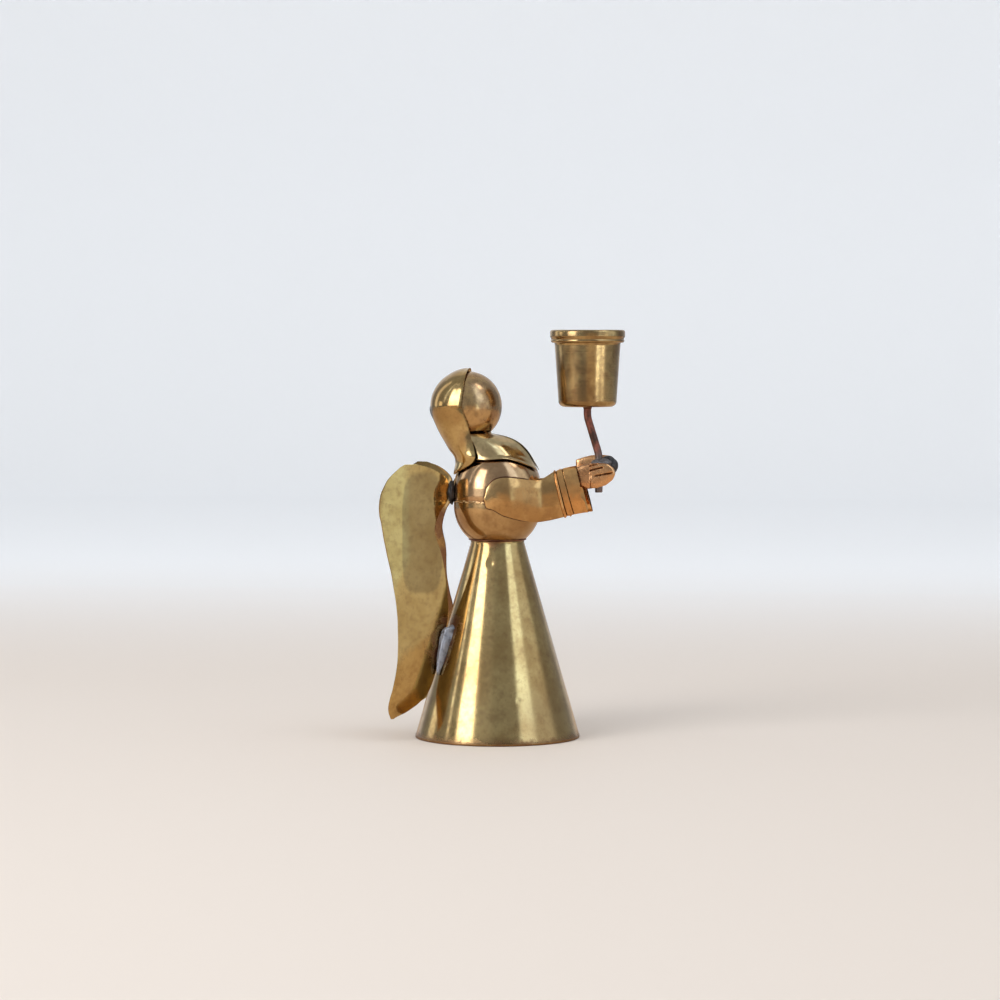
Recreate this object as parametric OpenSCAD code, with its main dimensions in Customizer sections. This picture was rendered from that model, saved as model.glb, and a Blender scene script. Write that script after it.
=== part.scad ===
// Angel candle holder of thin sheet brass, soldered together by hand.
// The origin is on the table at the axis of the skirt. The angel faces +X and +Z is up.

/* [Skirt] */
// Height of the cone from the table to its top edge
skirt_height = 73; // [66:1:84]
// Outer radius of the cone at the table
skirt_foot_r = 30.1; // [27:0.1:34]
// Outer radius of the cone at the waist
skirt_top_r = 9.9; // [9:0.1:11]
// Thickness of the sheet that the skirt is rolled from
skirt_sheet = 0.8; // [0.6:0.05:1.2]
// Height of the turned edge at the foot
hem_height = 1.2; // [0.8:0.1:2]
// How far the turned edge stands out
hem_proud = 0.25; // [0.1:0.05:0.5]
// Height of the plain collar at the top of the cone
lip_height = 1.1; // [0.6:0.1:1.6]
// Thickness of the disc that closes the cone at the waist
waist_disc_thick = 1.2; // [0.8:0.1:2]

/* [Torso] */
// Outer radius of both drawn domes
torso_r = 16.1; // [15:0.1:17.5]
// Height of the straight band between the two domes
torso_band = 6.6; // [5:0.1:8]
// Height of the seam above the middle of the lower dome
torso_seam_rise = 1.3; // [0.8:0.1:2.5]
// Radius of the opening in the lower dome, at the waist
torso_mouth_r = 10.2; // [9.6:0.1:10.8]
// Thickness of the sheet that the torso is drawn from
torso_sheet = 0.8; // [0.6:0.05:1.2]
// Radius of the solder bead round the waist
waist_bead_r = 0.45; // [0.3:0.05:0.7]

/* [Head] */
// Radius of the hollow ball
ball_r = 12.9; // [12:0.1:13.6]
// Thickness of the wall of the ball
ball_sheet = 1; // [0.8:0.1:1.5]
// How far the ball sits behind the axis of the skirt
head_back = 11.3; // [10:0.1:12.5]
// Length of the neck between the torso and the ball
neck_length = 3; // [2:0.1:4]
// Radius of the peg that joins the ball to the torso
neck_r = 5; // [4:0.1:5.6]

/* [Hair] */
// Thickness of the sheet of the hair
hair_sheet = 0.8; // [0.6:0.05:1]
// Space left for solder between the ball and the hair
hair_gap = 0.1; // [0.05:0.05:0.3]
// Half width of the hair where it meets the collar
hair_half_width = 13; // [12.6:0.1:13.4]
// Height of the solder bead at the back of the hair
hair_bead_height = 5.4; // [4:0.2:7]

/* [Collar] */
// Thickness of the sheet of the collar
collar_sheet = 0.7; // [0.5:0.05:0.9]
// Height of the neck edge above the top of the torso
collar_rise = 3.7; // [3.4:0.1:4.2]
// How far the two front points reach ahead of the axis
collar_reach = 15.2; // [14.2:0.1:15.8]
// Space between the collar and the torso
collar_gap = 0.15; // [0.1:0.05:0.4]
// Half of the opening between the two front points
collar_open = 1.3; // [0.8:0.1:2]

/* [Arms] */
// How far the end of the sleeve reaches ahead of the axis, at mid height
sleeve_reach = 31.6; // [30:0.1:33]
// Height of the sleeve at its widest
sleeve_height = 17.4; // [16:0.1:18.4]
// Outer width of the flattened sleeve at the cuff
sleeve_width = 6; // [5:0.1:6.4]
// Thickness of the sheet of sleeves and cuffs
sleeve_sheet = 0.8; // [0.6:0.05:1]
// Length of the cuff
cuff_length = 8.4; // [7:0.1:9.4]
// Length of the fist ahead of the wrist
hand_length = 13.2; // [12:0.1:14]
// Height of the fist
hand_height = 9.6; // [8.6:0.1:10.6]
// Thickness of the plate of each hand
hand_thick = 3.4; // [2.6:0.1:3.8]

/* [Candle cup] */
// Height of the cup
cup_height = 28.2; // [24:0.2:32]
// Outer radius of the body under the rim
cup_r = 12.1; // [11.8:0.1:13]
// Outer radius of the body at the bottom corner
cup_low_r = 10.7; // [10:0.1:11]
// Radius of the straight bore that holds the candle
socket_r = 11.3; // [10.8:0.1:11.4]
// Length of the straight bore
socket_length = 9; // [7:0.5:12]
// Radius of the rounded bottom corner
cup_corner_r = 2.2; // [1.6:0.1:2.8]
// Height of the hem round the rim
rim_height = 4.8; // [4:0.1:6]
// Outer radius of the hem round the rim
rim_r = 13.8; // [13.4:0.1:14.6]
// Distance of the cup's axis ahead of the skirt's axis
cup_ahead = 33.2; // [32.6:0.1:34.4]
// Distance of the lower end of the stem ahead of the skirt's axis
stem_ahead = 37.4; // [36.8:0.1:38]
// Radius of the wire of the stem
stem_r = 1.45; // [1.2:0.05:1.6]
// Radius of the two bends of the stem
stem_bend_r = 10; // [8:0.5:12]
// How far the stem leans between its bends, in degrees
stem_lean = 17; // [15:0.5:20]
// Length of the straight neck under the cup
stem_neck = 2.2; // [1:0.1:4]
// Space between the solder on the hands and the lower bend
stem_clear = 0.25; // [0.1:0.05:1]
// Length of the stub under the hands
stem_stub = 1.5; // [1:0.1:3]

/* [Wings] */
// Height of a wing
wing_height = 92.6; // [88:0.2:96]
// Height of the lowest point of a wing above the table
wing_low = 8.4; // [6:0.2:11]
// How far a wing reaches back from its root
wing_depth = 23.8; // [21:0.2:26]
// Thickness of the sheet of a wing
wing_sheet = 0.9; // [0.7:0.05:1.2]
// Radius to which the sheet is curved
wing_curve_r = 77; // [65:1:95]
// Angle between a wing and the middle plane at its root, in degrees
wing_splay = 37; // [33:1:41]
// Space filled with solder between the torso and the root of a wing
wing_root_gap = 1.4; // [1.1:0.1:1.7]
// Half of the distance between the two wings at their roots
wing_root_half = 6.2; // [5.8:0.1:6.6]
// Radius to which the upper front margin of a wing is bent towards the middle
wing_bend_r = 9.6; // [8:0.2:14]
// Length of the solder spindle between a wing and the skirt
spindle_length = 18.5; // [15:0.5:21]
// Radius of the solder spindle at its thickest
spindle_r = 2.2; // [1.8:0.1:2.6]
// Length of the solder between a wing and the torso
root_solder_length = 7.4; // [6:0.2:9]

/* [Hidden] */
$fn = 96;

// Colours of the finishes
brass = [0.71, 0.58, 0.30];
brass_deep = [0.62, 0.47, 0.24];
copper = [0.45, 0.30, 0.24];
lead = [0.50, 0.51, 0.54];

// One overrun for all cuts
over = 1;

// Skirt and torso
skirt_slope = (skirt_foot_r - skirt_top_r) / (skirt_height - lip_height - hem_height);
lower_dome_z = skirt_height + sqrt(torso_r * torso_r - torso_mouth_r * torso_mouth_r);
upper_dome_z = lower_dome_z + torso_band;
seam_z = lower_dome_z + torso_seam_rise;
torso_top = upper_dome_z + torso_r;

// Head
neck_span = torso_r + neck_length + ball_r;
head_rise = sqrt(neck_span * neck_span - head_back * head_back);
head_z = upper_dome_z + head_rise;
neck_tilt = atan2(head_back, head_rise);

// Hair: the dome follows the ball, and the drape hangs from the middle of the ball
hair_r = ball_r + hair_gap + hair_sheet / 2;
hair_low_z = upper_dome_z + torso_r * 0.31;
hair_drop = head_z - hair_low_z;
hair_front_share = 0.09;
dome_steps = 12;
drape_steps = 16;
hair_half_steps = 14;
// Each row: share of the drop, back edge and front edge as shares of the dome's radius behind
// the ball's middle, and half width as a share of the hair's half width
hair_drape_shares = [
    [0.00, 1.00, 0.02, 1.02], [0.13, 0.96, -0.06, 1.01], [0.27, 0.86, -0.15, 0.99],
    [0.40, 0.74, -0.21, 0.97], [0.52, 0.61, -0.27, 0.97], [0.64, 0.48, -0.33, 0.98],
    [0.74, 0.34, -0.35, 1.00], [0.82, 0.31, -0.26, 0.93], [0.88, 0.32, -0.10, 0.84],
    [0.94, 0.34, 0.09, 0.70], [1.00, 0.36, 0.27, 0.40]];

// Collar: one half from the front point to the back of the neck
collar_neck_r = sqrt(ball_r * ball_r - pow(head_z - torso_top - collar_rise, 2)) + collar_sheet;
collar_steps = 18;
collar_rows = 6;
// Each row: neck edge as angle from the front in half turns and share of the neck radius, then the
// lower edge as angle and height above the upper dome's middle as a share of the torso's radius
collar_shares = [
    [0.05, 1.10, 0.06, 0.39], [0.16, 1.10, 0.14, 0.46], [0.30, 1.09, 0.24, 0.56],
    [0.42, 1.04, 0.36, 0.65], [0.54, 1.02, 0.50, 0.645], [0.68, 1.02, 0.64, 0.64],
    [0.84, 1.02, 0.82, 0.67], [1.00, 1.02, 1.00, 0.70]];

// Arms
arm_root = -torso_r * 0.19;
cuff_start = sleeve_reach - cuff_length;
sleeve_mid_z = upper_dome_z - torso_r * 0.1;
arm_slant_share = 0.27;
sleeve_steps = 18;
sleeve_rows = 10;
// Each row: share of the way from the root to the cuff's end, middle height above the sleeve's
// level and half height as shares of half the sleeve's height, and slant as a share
arm_shares = [
    [0.00, -0.22, 0.02, 0.00], [0.03, -0.18, 0.40, 0.00], [0.10, -0.05, 0.62, 0.00],
    [0.20, -0.10, 0.80, 0.00], [0.35, -0.22, 0.88, 0.00], [0.50, -0.33, 0.91, 0.10],
    [0.62, -0.27, 0.92, 0.45], [0.76, -0.06, 0.97, 0.90], [0.88, 0.08, 0.99, 1.00],
    [1.00, 0.16, 1.00, 1.00]];
cuff_wall = sleeve_sheet;
cuff_inner_y = 0.25;
sleeve_spigot = 2.4;
cuff_clear = 0.1;
arm_blend = 1.2;
arm_edge_least = 0.05;
arm_edge_share = 0.02;

// Hands
palm_clear = 0.05;
palm_y = stem_r + palm_clear;
hand_z = sleeve_mid_z + sleeve_height * 0.36;
wrist_in = cuff_length * 0.35;

// Stem and cup
cup_floor = 1;
stem_low_z = hand_z - hand_height / 2 - stem_stub;
stem_shift = stem_ahead - cup_ahead;
stem_straight = (stem_shift - 2 * stem_bend_r * (1 - cos(stem_lean))) / sin(stem_lean);
stem_bend_steps = 4;
stem_sides = 24;
hand_solder_z = hand_z + hand_height * 0.15;
hand_solder_top = hand_z + hand_height * 0.62;
hand_lead_z = hand_z + hand_height * 0.38;
hand_lead_r = hand_height * 0.37;
lower_bend_z = hand_solder_top + stem_clear;
upper_bend_z = lower_bend_z + 2 * stem_bend_r * sin(stem_lean) + stem_straight * cos(stem_lean);
cup_low_z = upper_bend_z + stem_neck;
solder_ring = 0.5;
hem_round = rim_height * 0.3;

// Wings: each row is height as a share of the wing's height, then the front and the back edge as
// shares of its depth
wing_steps = 46;
wing_rows = 12;
wing_shares = [
    [0.000, 0.77, 0.80], [0.025, 0.62, 0.82], [0.052, 0.48, 0.82], [0.088, 0.33, 0.80],
    [0.115, 0.25, 0.78], [0.154, 0.19, 0.76], [0.194, 0.15, 0.74], [0.233, 0.11, 0.73],
    [0.273, 0.07, 0.73], [0.312, 0.04, 0.73], [0.352, 0.02, 0.73], [0.391, 0.00, 0.73],
    [0.431, -0.01, 0.74], [0.471, 0.00, 0.75], [0.514, 0.01, 0.77], [0.574, 0.04, 0.80],
    [0.630, 0.08, 0.85], [0.668, 0.11, 0.88], [0.708, 0.15, 0.91], [0.740, 0.16, 0.93],
    [0.772, 0.15, 0.95], [0.795, 0.12, 0.97], [0.819, 0.08, 0.98], [0.842, 0.02, 0.98],
    [0.866, 0.00, 0.97], [0.890, 0.00, 0.94], [0.914, 0.00, 0.88], [0.938, 0.02, 0.79],
    [0.956, 0.08, 0.74], [0.972, 0.16, 0.69], [0.984, 0.25, 0.65], [0.991, 0.33, 0.62],
    [1.000, 0.45, 0.53]];
// Width of the bent front margin up the wing, as a share of its depth
wing_bend_shares = [[0, 0], [0.70, 0], [0.75, 0.03], [0.81, 0.16], [0.88, 0.26], [0.935, 0.15], [1, 0]];
// The wing turns outwards towards its foot: slope at the foot, and the height where the turn begins
wing_twist_share = 0.33;
wing_twist_top_share = 0.62;
wing_root_back = torso_r + wing_root_gap;
// The wing leans out so that its front edge lies on the skirt at the middle of the spindle
spindle_z = skirt_height * 0.45;
spindle_skirt_r = skirt_top_r + skirt_slope * (skirt_height - lip_height - spindle_z);
spindle_share = (spindle_z - wing_low) / wing_height;
root_solder_z = lower_dome_z + torso_r * 0.32;
solder_tip_share = 0.35;
solder_swell_share = 0.8;
hair_bead_proud = 0.9;
hair_bead_half = 1.1;

// Smooth value of one column of a table at share t of its first column
function row_at(table, t, i = 0) =
    i >= len(table) - 2 || t <= table[i + 1][0] ? i : row_at(table, t, i + 1);
function eased(a, b, c, d, f) =
    b + (c - a) * f / 2 + (2 * a - 5 * b + 4 * c - d) * f * f / 2
    + (3 * (b - c) + d - a) * f * f * f / 2;
function column(table, t, k) =
    let (i = row_at(table, t), last = len(table) - 1, f = (t - table[i][0]) / (table[i + 1][0] - table[i][0]))
    eased(table[max(i - 1, 0)][k], table[i][k], table[i + 1][k], table[min(i + 2, last)][k], f);
function mix(a, b, f) = a + (b - a) * f;
function unit(v) = v / norm(v);
function flipped(list) = [for (i = [len(list) - 1:-1:0]) list[i]];
function mirrored(points) = [for (p = points) [p[0], -p[1], p[2]]];

// Radius of the torso at height z
function torso_at(z) =
    let (rise = z > upper_dome_z ? z - upper_dome_z : z < lower_dome_z ? lower_dome_z - z : 0)
    sqrt(max(torso_r * torso_r - rise * rise, 0));

// Direction square to a grid of points at row i, column j
function grid_normal(grid, i, j) =
    let (
        m = len(grid) - 1,
        n = len(grid[0]) - 1,
        along = grid[min(i + 1, m)][j] - grid[max(i - 1, 0)][j],
        across = grid[i][min(j + 1, n)] - grid[i][max(j - 1, 0)]
    )
    unit(cross(along, across));

// Closed loops of a sheet of given thickness round a grid of points
function sheet_rings(grid, thick) = [
    for (i = [0:len(grid) - 1]) concat(
        [for (j = [0:len(grid[i]) - 1]) grid[i][j] + grid_normal(grid, i, j) * thick / 2],
        [for (j = [len(grid[i]) - 1:-1:0]) grid[i][j] - grid_normal(grid, i, j) * thick / 2])];

// Solid through a list of closed loops, each with the same even number of points
module loft(rings) {
    n = len(rings[0]);
    m = len(rings);
    half = n / 2;
    sides = [for (i = [0:m - 2], j = [0:n - 1])
        let (a = i * n + j, b = i * n + (j + 1) % n) each [[a, b, b + n], [a, b + n, a + n]]];
    start_cap = [for (j = [0:half - 2])
        let (a = j, b = j + 1, c = n - 2 - j, d = n - 1 - j) each [[a, c, b], [a, d, c]]];
    end_base = (m - 1) * n;
    end_cap = [for (j = [0:half - 2])
        let (a = end_base + j, b = a + 1, c = end_base + n - 2 - j, d = c + 1)
        each [[a, b, c], [a, c, d]]];
    polyhedron(points = [for (ring = rings) each ring], faces = concat(sides, start_cap, end_cap),
        convexity = 8);
}

// Rolled cone, open at the foot, with a turned edge below and a plain lip above
module skirt_cone() {
    shell_x = skirt_sheet * sqrt(1 + skirt_slope * skirt_slope);
    color(brass)
        rotate_extrude()
            polygon([
                [skirt_foot_r, hem_height],
                [skirt_top_r, skirt_height - lip_height],
                [skirt_top_r, skirt_height],
                [skirt_top_r - skirt_sheet, skirt_height],
                [skirt_top_r - skirt_sheet, skirt_height - lip_height],
                [skirt_foot_r - shell_x, hem_height],
                [skirt_foot_r - shell_x, 0],
                [skirt_foot_r, 0],
                [skirt_foot_r + hem_proud, hem_proud],
                [skirt_foot_r + hem_proud, hem_height - hem_proud]]);
}

// Disc inside the lip that closes the cone
module waist_disc() {
    color(brass_deep)
        translate([0, 0, skirt_height - waist_disc_thick])
            cylinder(h = waist_disc_thick, r = skirt_top_r - skirt_sheet);
}

// Bead of solder in the corner between the skirt's lip and the torso
module waist_solder() {
    color(copper)
        rotate_extrude()
            polygon([
                [skirt_top_r, skirt_height - waist_bead_r],
                [torso_mouth_r, skirt_height - waist_bead_r * 0.9],
                [torso_mouth_r + waist_bead_r * 0.7, skirt_height - waist_bead_r * 0.2],
                [torso_at(skirt_height + waist_bead_r), skirt_height + waist_bead_r],
                [torso_mouth_r, skirt_height],
                [skirt_top_r, skirt_height]]);
}

// Drawn dome shell whose middle is at height z
module dome_shell(z) {
    translate([0, 0, z])
        difference() {
            sphere(r = torso_r);
            sphere(r = torso_r - torso_sheet);
        }
}

// Straight wall of the torso from one height to another
module torso_wall(from_z, to_z) {
    translate([0, 0, from_z])
        difference() {
            cylinder(h = to_z - from_z, r = torso_r);
            translate([0, 0, -over])
                cylinder(h = to_z - from_z + 2 * over, r = torso_r - torso_sheet);
        }
}

// Lower half of the torso, open at the waist
module torso_lower_shell() {
    color(brass_deep)
        union() {
            intersection() {
                dome_shell(lower_dome_z);
                translate([0, 0, skirt_height])
                    cylinder(h = lower_dome_z - skirt_height, r = 2 * torso_r);
            }
            torso_wall(lower_dome_z, seam_z);
        }
}

// Upper half of the torso
module torso_upper_shell() {
    color(brass)
        union() {
            intersection() {
                dome_shell(upper_dome_z);
                translate([0, 0, upper_dome_z])
                    cylinder(h = 2 * torso_r, r = 2 * torso_r);
            }
            torso_wall(seam_z, upper_dome_z);
        }
}

// Peg between the torso and the ball, seated on both
module neck_peg() {
    color(brass_deep)
        difference() {
            translate([0, 0, upper_dome_z])
                rotate([0, -neck_tilt, 0])
                    cylinder(h = neck_span, r = neck_r);
            translate([0, 0, upper_dome_z])
                sphere(r = torso_r);
            translate([-head_back, 0, head_z])
                sphere(r = ball_r);
        }
}

// Plain hollow ball
module head_ball() {
    color(brass_deep)
        translate([-head_back, 0, head_z])
            difference() {
                sphere(r = ball_r);
                sphere(r = ball_r - ball_sheet);
            }
}

// One slice of the hair: an arc from the right edge round the back to the left edge
function hair_slice(middle_x, back, side, half_angle, z) = [
    for (j = [-hair_half_steps:hair_half_steps])
        let (a = half_angle * j / hair_half_steps)
        [middle_x - back * cos(a), side * sin(a), z]];

function dome_slice(s) =
    let (
        a = mix(2, 90, s),
        r = hair_r * sin(a),
        ahead = hair_r * mix(hair_front_share, -0.02, s)
    )
    hair_slice(-head_back, r, r, min(170, 90 + asin(min(ahead / r, 1))), head_z + hair_r * cos(a));

// Point moved out to the face of the torso where it would lie inside
function over_torso(p, gap) =
    let (r = norm([p[0], p[1]]), least = torso_at(p[2]) + gap)
    r < least ? [p[0] * least / r, p[1] * least / r, p[2]] : p;

function drape_slice(s) =
    let (
        back = column(hair_drape_shares, s, 1) * hair_r,
        front = column(hair_drape_shares, s, 2) * hair_r,
        side = column(hair_drape_shares, s, 3) * hair_half_width,
        slice = hair_slice(-head_back - front, back - front, side, 90, head_z - hair_drop * s)
    )
    [for (p = slice) over_torso(p, collar_gap + hair_sheet / 2)];

// Hair: a dome over the back of the ball that hangs down to the shoulders
module hair() {
    dome = [for (i = [0:dome_steps]) dome_slice(i / dome_steps)];
    drape = [for (i = [1:drape_steps]) drape_slice(i / drape_steps)];
    color(brass)
        loft(sheet_rings(concat(dome, drape), hair_sheet));
}

// Distance of the hair's outer face behind the ball's middle, at a depth below that middle
function hair_back(depth) =
    column(hair_drape_shares, depth / hair_drop, 1) * hair_r + hair_sheet / 2;

// Flat bead of solder on the seam at the back of the hair
module hair_solder() {
    steps = 4;
    inner = [for (i = [0:steps]) let (depth = hair_bead_height * i / steps)
        [-head_back - hair_back(depth), head_z - depth]];
    outer = [for (i = [steps:-1:0])
        let (depth = hair_bead_height * i / steps, swell = i == 0 || i == steps ? 0.5 : 1)
        [-head_back - hair_back(depth) - hair_bead_proud * swell, head_z - depth]];
    color(lead)
        rotate([90, 0, 0])
            linear_extrude(height = 2 * hair_bead_half, center = true)
                polygon(concat(inner, outer));
}

// Collar station at share s of the way from the front point to the back of the neck
function collar_station(s) =
    let (
        t = s * (len(collar_shares) - 1),
        i = min(floor(t), len(collar_shares) - 2),
        f = t - i,
        last = len(collar_shares) - 1,
        before = collar_shares[max(i - 1, 0)],
        here = collar_shares[i],
        next = collar_shares[i + 1],
        after = collar_shares[min(i + 2, last)],
        row = [for (k = [0:3]) eased(before[k], here[k], next[k], after[k], f)],
        neck_a = 180 * row[0],
        low_a = 180 * row[2],
        z_low = upper_dome_z + torso_r * row[3],
        low_r = torso_at(z_low) + collar_gap + collar_sheet / 2,
        lift = (torso_r * 0.19) * pow(max(1 - s * 2, 0), 2) + torso_r * 0.03,
        neck = [
            collar_neck_r * row[1] * cos(neck_a) - head_back,
            max(collar_neck_r * row[1] * sin(neck_a), s < 0.5 ? collar_open : 0),
            torso_top + collar_rise],
        low = [
            mix(low_r, collar_reach, max(1 - s * 8, 0)) * cos(low_a),
            max(low_r * sin(low_a), s < 0.5 ? collar_open : 0),
            z_low]
    )
    [for (j = [0:collar_rows])
        let (g = j / collar_rows, hump = lift * sin(180 * g))
        off_dome(mix(neck, low, g) + hump * unit([low[0] * 0.7, low[1] * 0.7, torso_r]))];

// Point of the collar moved out to the upper dome where it would lie inside
function off_dome(p) =
    let (
        middle = [0, 0, upper_dome_z],
        away = p - middle,
        least = torso_r + collar_gap + collar_sheet / 2
    )
    norm(away) < least ? middle + away * least / norm(away) : p;

// Collar: one sheet round the neck with two points at the front
module collar() {
    half = [for (i = [0:collar_steps]) collar_station(i / collar_steps)];
    other = [for (i = [collar_steps - 1:-1:0]) mirrored(half[i])];
    color(brass)
        loft(sheet_rings(flipped(concat(half, other)), collar_sheet));
}

// Middle of the arm's thickness and its half thickness at share s of its length
function arm_mid_y(s) = mix(torso_r * 0.62, cuff_inner_y + sleeve_width / 2, pow(s, 0.9));
function arm_half_y(s) = sleeve_width / 2 * mix(1.1, 1, s);
function bulge(v) = pow(max(1 - pow(abs(2 * v - 1), 3), 0), 0.5);
function soft_max(a, b, width) = max(a, b) + pow(max(width - abs(a - b), 0), 2) / (4 * width);

// Point of the arm's surface: s along it, v from its lower to its upper edge, and inset from the
// outside; side is 1 on the outer face and -1 on the inner face
function arm_point(s, v, side, inset) =
    let (
        half_h = max(column(arm_shares, s, 2) * sleeve_height / 2 - inset, arm_edge_least),
        up = mix(-half_h, half_h, v),
        z = sleeve_mid_z + column(arm_shares, s, 1) * sleeve_height / 2 + up,
        x = mix(arm_root, sleeve_reach, s) - column(arm_shares, s, 3) * arm_slant_share * up,
        torso_y = sqrt(max(pow(torso_at(z), 2) - x * x, 0)),
        seat = (torso_y > 0 ? torso_y : -torso_r) + (side > 0 ? sleeve_sheet : 0) + collar_gap,
        tube = arm_mid_y(s) + side * (arm_half_y(s) * bulge(v) - inset)
    )
    [x, inset > 0 ? tube : soft_max(tube, seat, arm_blend), z];

// Loop round the arm at share s, inset by a distance
function arm_ring(s, inset) = concat(
    [for (j = [0:sleeve_rows])
        arm_point(s, mix(arm_edge_share, 1 - arm_edge_share, j / sleeve_rows), 1, inset)],
    [for (j = [sleeve_rows:-1:0])
        arm_point(s, mix(arm_edge_share, 1 - arm_edge_share, j / sleeve_rows), -1, inset)]);

cuff_start_share = (cuff_start - arm_root) / (sleeve_reach - arm_root);
spigot_end_share = (cuff_start + sleeve_spigot - arm_root) / (sleeve_reach - arm_root);

// Sleeve: shoulder sheet on the torso that runs into a flattened tube
module sleeve() {
    outside = [for (i = [0:sleeve_steps]) arm_ring(cuff_start_share * i / sleeve_steps, 0)];
    spigot = [for (s = [cuff_start_share, spigot_end_share]) arm_ring(s, cuff_wall + cuff_clear)];
    bore = [for (s = [spigot_end_share, cuff_start_share])
        arm_ring(s, cuff_wall + cuff_clear + sleeve_sheet)];
    loft(flipped(concat(outside, spigot, bore)));
}

module left_sleeve() {
    color(brass)
        sleeve();
}

module right_sleeve() {
    color(brass)
        mirror([0, 1, 0])
            sleeve();
}

// Cuff: a short flattened tube round the end of the sleeve
module cuff() {
    steps = 4;
    outside = [for (i = [0:steps]) arm_ring(mix(cuff_start_share, 1, i / steps), 0)];
    inside = [for (i = [steps:-1:0]) arm_ring(mix(cuff_start_share, 1, i / steps), cuff_wall)];
    rings = concat(outside, inside, [outside[0]]);
    n = len(outside[0]);
    count = len(rings) - 1;
    polyhedron(
        points = [for (i = [0:count - 1]) each rings[i]],
        faces = [for (i = [0:count - 1], j = [0:n - 1])
            let (
                a = i * n + j,
                b = i * n + (j + 1) % n,
                c = ((i + 1) % count) * n + (j + 1) % n,
                d = ((i + 1) % count) * n + j
            )
            each [[a, c, b], [a, d, c]]],
        convexity = 6);
}

module left_cuff() {
    color(brass_deep)
        cuff();
}

module right_cuff() {
    color(brass_deep)
        mirror([0, 1, 0])
            cuff();
}

// Outline of the fist and wrist from the side, in shares of its length and height
hand_shares = [
    [-0.50, -0.36], [0.00, -0.44], [0.12, -0.50], [0.42, -0.47], [0.66, -0.36], [0.85, -0.16],
    [0.93, 0.08], [0.88, 0.30], [0.72, 0.46], [0.45, 0.50], [0.20, 0.47], [0.00, 0.40],
    [-0.50, 0.30]];

// Hand: a thick plate cut as a fist, with its wrist inside the cuff
module hand() {
    outline = [for (p = hand_shares) [
        sleeve_reach + p[0] * (p[0] < 0 ? 2 * wrist_in : hand_length),
        hand_z + p[1] * hand_height]];
    translate([0, palm_y, 0])
        rotate([90, 0, 0])
            mirror([0, 0, 1])
                linear_extrude(height = hand_thick)
                    polygon(outline);
}

module left_hand() {
    color(brass_deep)
        hand();
}

module right_hand() {
    color(brass_deep)
        mirror([0, 1, 0])
            hand();
}

// Lead solder round the wire on top of the hands, and the lead that fills the gap between the palms
module hand_solder() {
    color(lead)
        difference() {
            union() {
                translate([stem_ahead, 0, hand_solder_z])
                    cylinder(h = hand_solder_top - hand_solder_z, r = palm_y + hand_thick * 0.5);
                translate([stem_ahead + hand_lead_r, 0, hand_lead_z])
                    rotate([90, 0, 0])
                        cylinder(h = 2 * palm_y, r = hand_lead_r, center = true);
            }
            translate([stem_ahead, 0, hand_z - hand_height])
                cylinder(h = 2 * hand_height, r = stem_r);
            for (side = [0, 1])
                mirror([0, side, 0])
                    hand();
        }
}

// Middle line of the stem from the cup down: distance ahead, height and lean of each station
stem_path = [
    [cup_ahead, cup_low_z, 0],
    for (i = [0:stem_bend_steps])
        let (a = stem_lean * i / stem_bend_steps)
        [cup_ahead + stem_bend_r * (1 - cos(a)), upper_bend_z - stem_bend_r * sin(a), a],
    for (i = [stem_bend_steps:-1:0])
        let (a = stem_lean * i / stem_bend_steps)
        [stem_ahead - stem_bend_r * (1 - cos(a)), lower_bend_z + stem_bend_r * sin(a), a],
    [stem_ahead, stem_low_z, 0]];

// Bent wire from the cup down through the hands
module candle_stem() {
    color(copper)
        loft([for (at = stem_path) [for (k = [0:stem_sides - 1])
            let (turn = 360 * k / stem_sides)
            [
                at[0] + stem_r * cos(turn) * cos(at[2]),
                stem_r * sin(turn),
                at[1] + stem_r * cos(turn) * sin(at[2])]]]);
}

// Ring of solder between the stem and the bottom of the cup
module stem_solder() {
    color(copper)
        translate([cup_ahead, 0, cup_low_z - solder_ring])
            difference() {
                cylinder(h = solder_ring, r1 = stem_r + solder_ring / 2, r2 = stem_r + solder_ring);
                translate([0, 0, -over])
                    cylinder(h = solder_ring + 2 * over, r = stem_r);
            }
}

// Turned cup with a straight socket, a rounded bottom corner and a hem round its rim
module candle_cup() {
    inner_low_r = cup_low_r - cup_corner_r;
    wall_low = cup_low_r - cup_floor;
    color(brass)
        translate([cup_ahead, 0, cup_low_z])
            difference() {
                union() {
                    rotate_extrude()
                        polygon([
                            [0, 0],
                            [inner_low_r, 0],
                            [inner_low_r, cup_corner_r],
                            [cup_low_r, cup_corner_r],
                            [cup_r, cup_height - rim_height],
                            [cup_r, cup_height],
                            [0, cup_height]]);
                    intersection() {
                        translate([0, 0, cup_corner_r])
                            rotate_extrude()
                                translate([inner_low_r, 0])
                                    circle(r = cup_corner_r, $fn = 32);
                        cylinder(h = cup_corner_r, r = cup_r);
                    }
                    rotate_extrude()
                        polygon([
                            [cup_r - cup_floor / 2, cup_height - rim_height],
                            [rim_r - hem_round / 2, cup_height - rim_height],
                            [rim_r - hem_round / 4, cup_height - rim_height + hem_round / 2],
                            [rim_r, cup_height - rim_height + hem_round],
                            [rim_r, cup_height - hem_round],
                            [rim_r - hem_round / 3, cup_height - hem_round / 3],
                            [rim_r - hem_round, cup_height],
                            [cup_r - cup_floor / 2, cup_height]]);
                }
                translate([0, 0, cup_height - socket_length])
                    cylinder(h = socket_length + over, r = socket_r);
                translate([0, 0, cup_floor])
                    cylinder(h = cup_height - socket_length - cup_floor, r1 = wall_low, r2 = socket_r);
            }
}

// Half distance between the flat parts of the wings, a distance behind the root, without the lean
function wing_flat_half(back) =
    wing_root_half + tan(wing_splay) * back - back * back / (2 * wing_curve_r);

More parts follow.
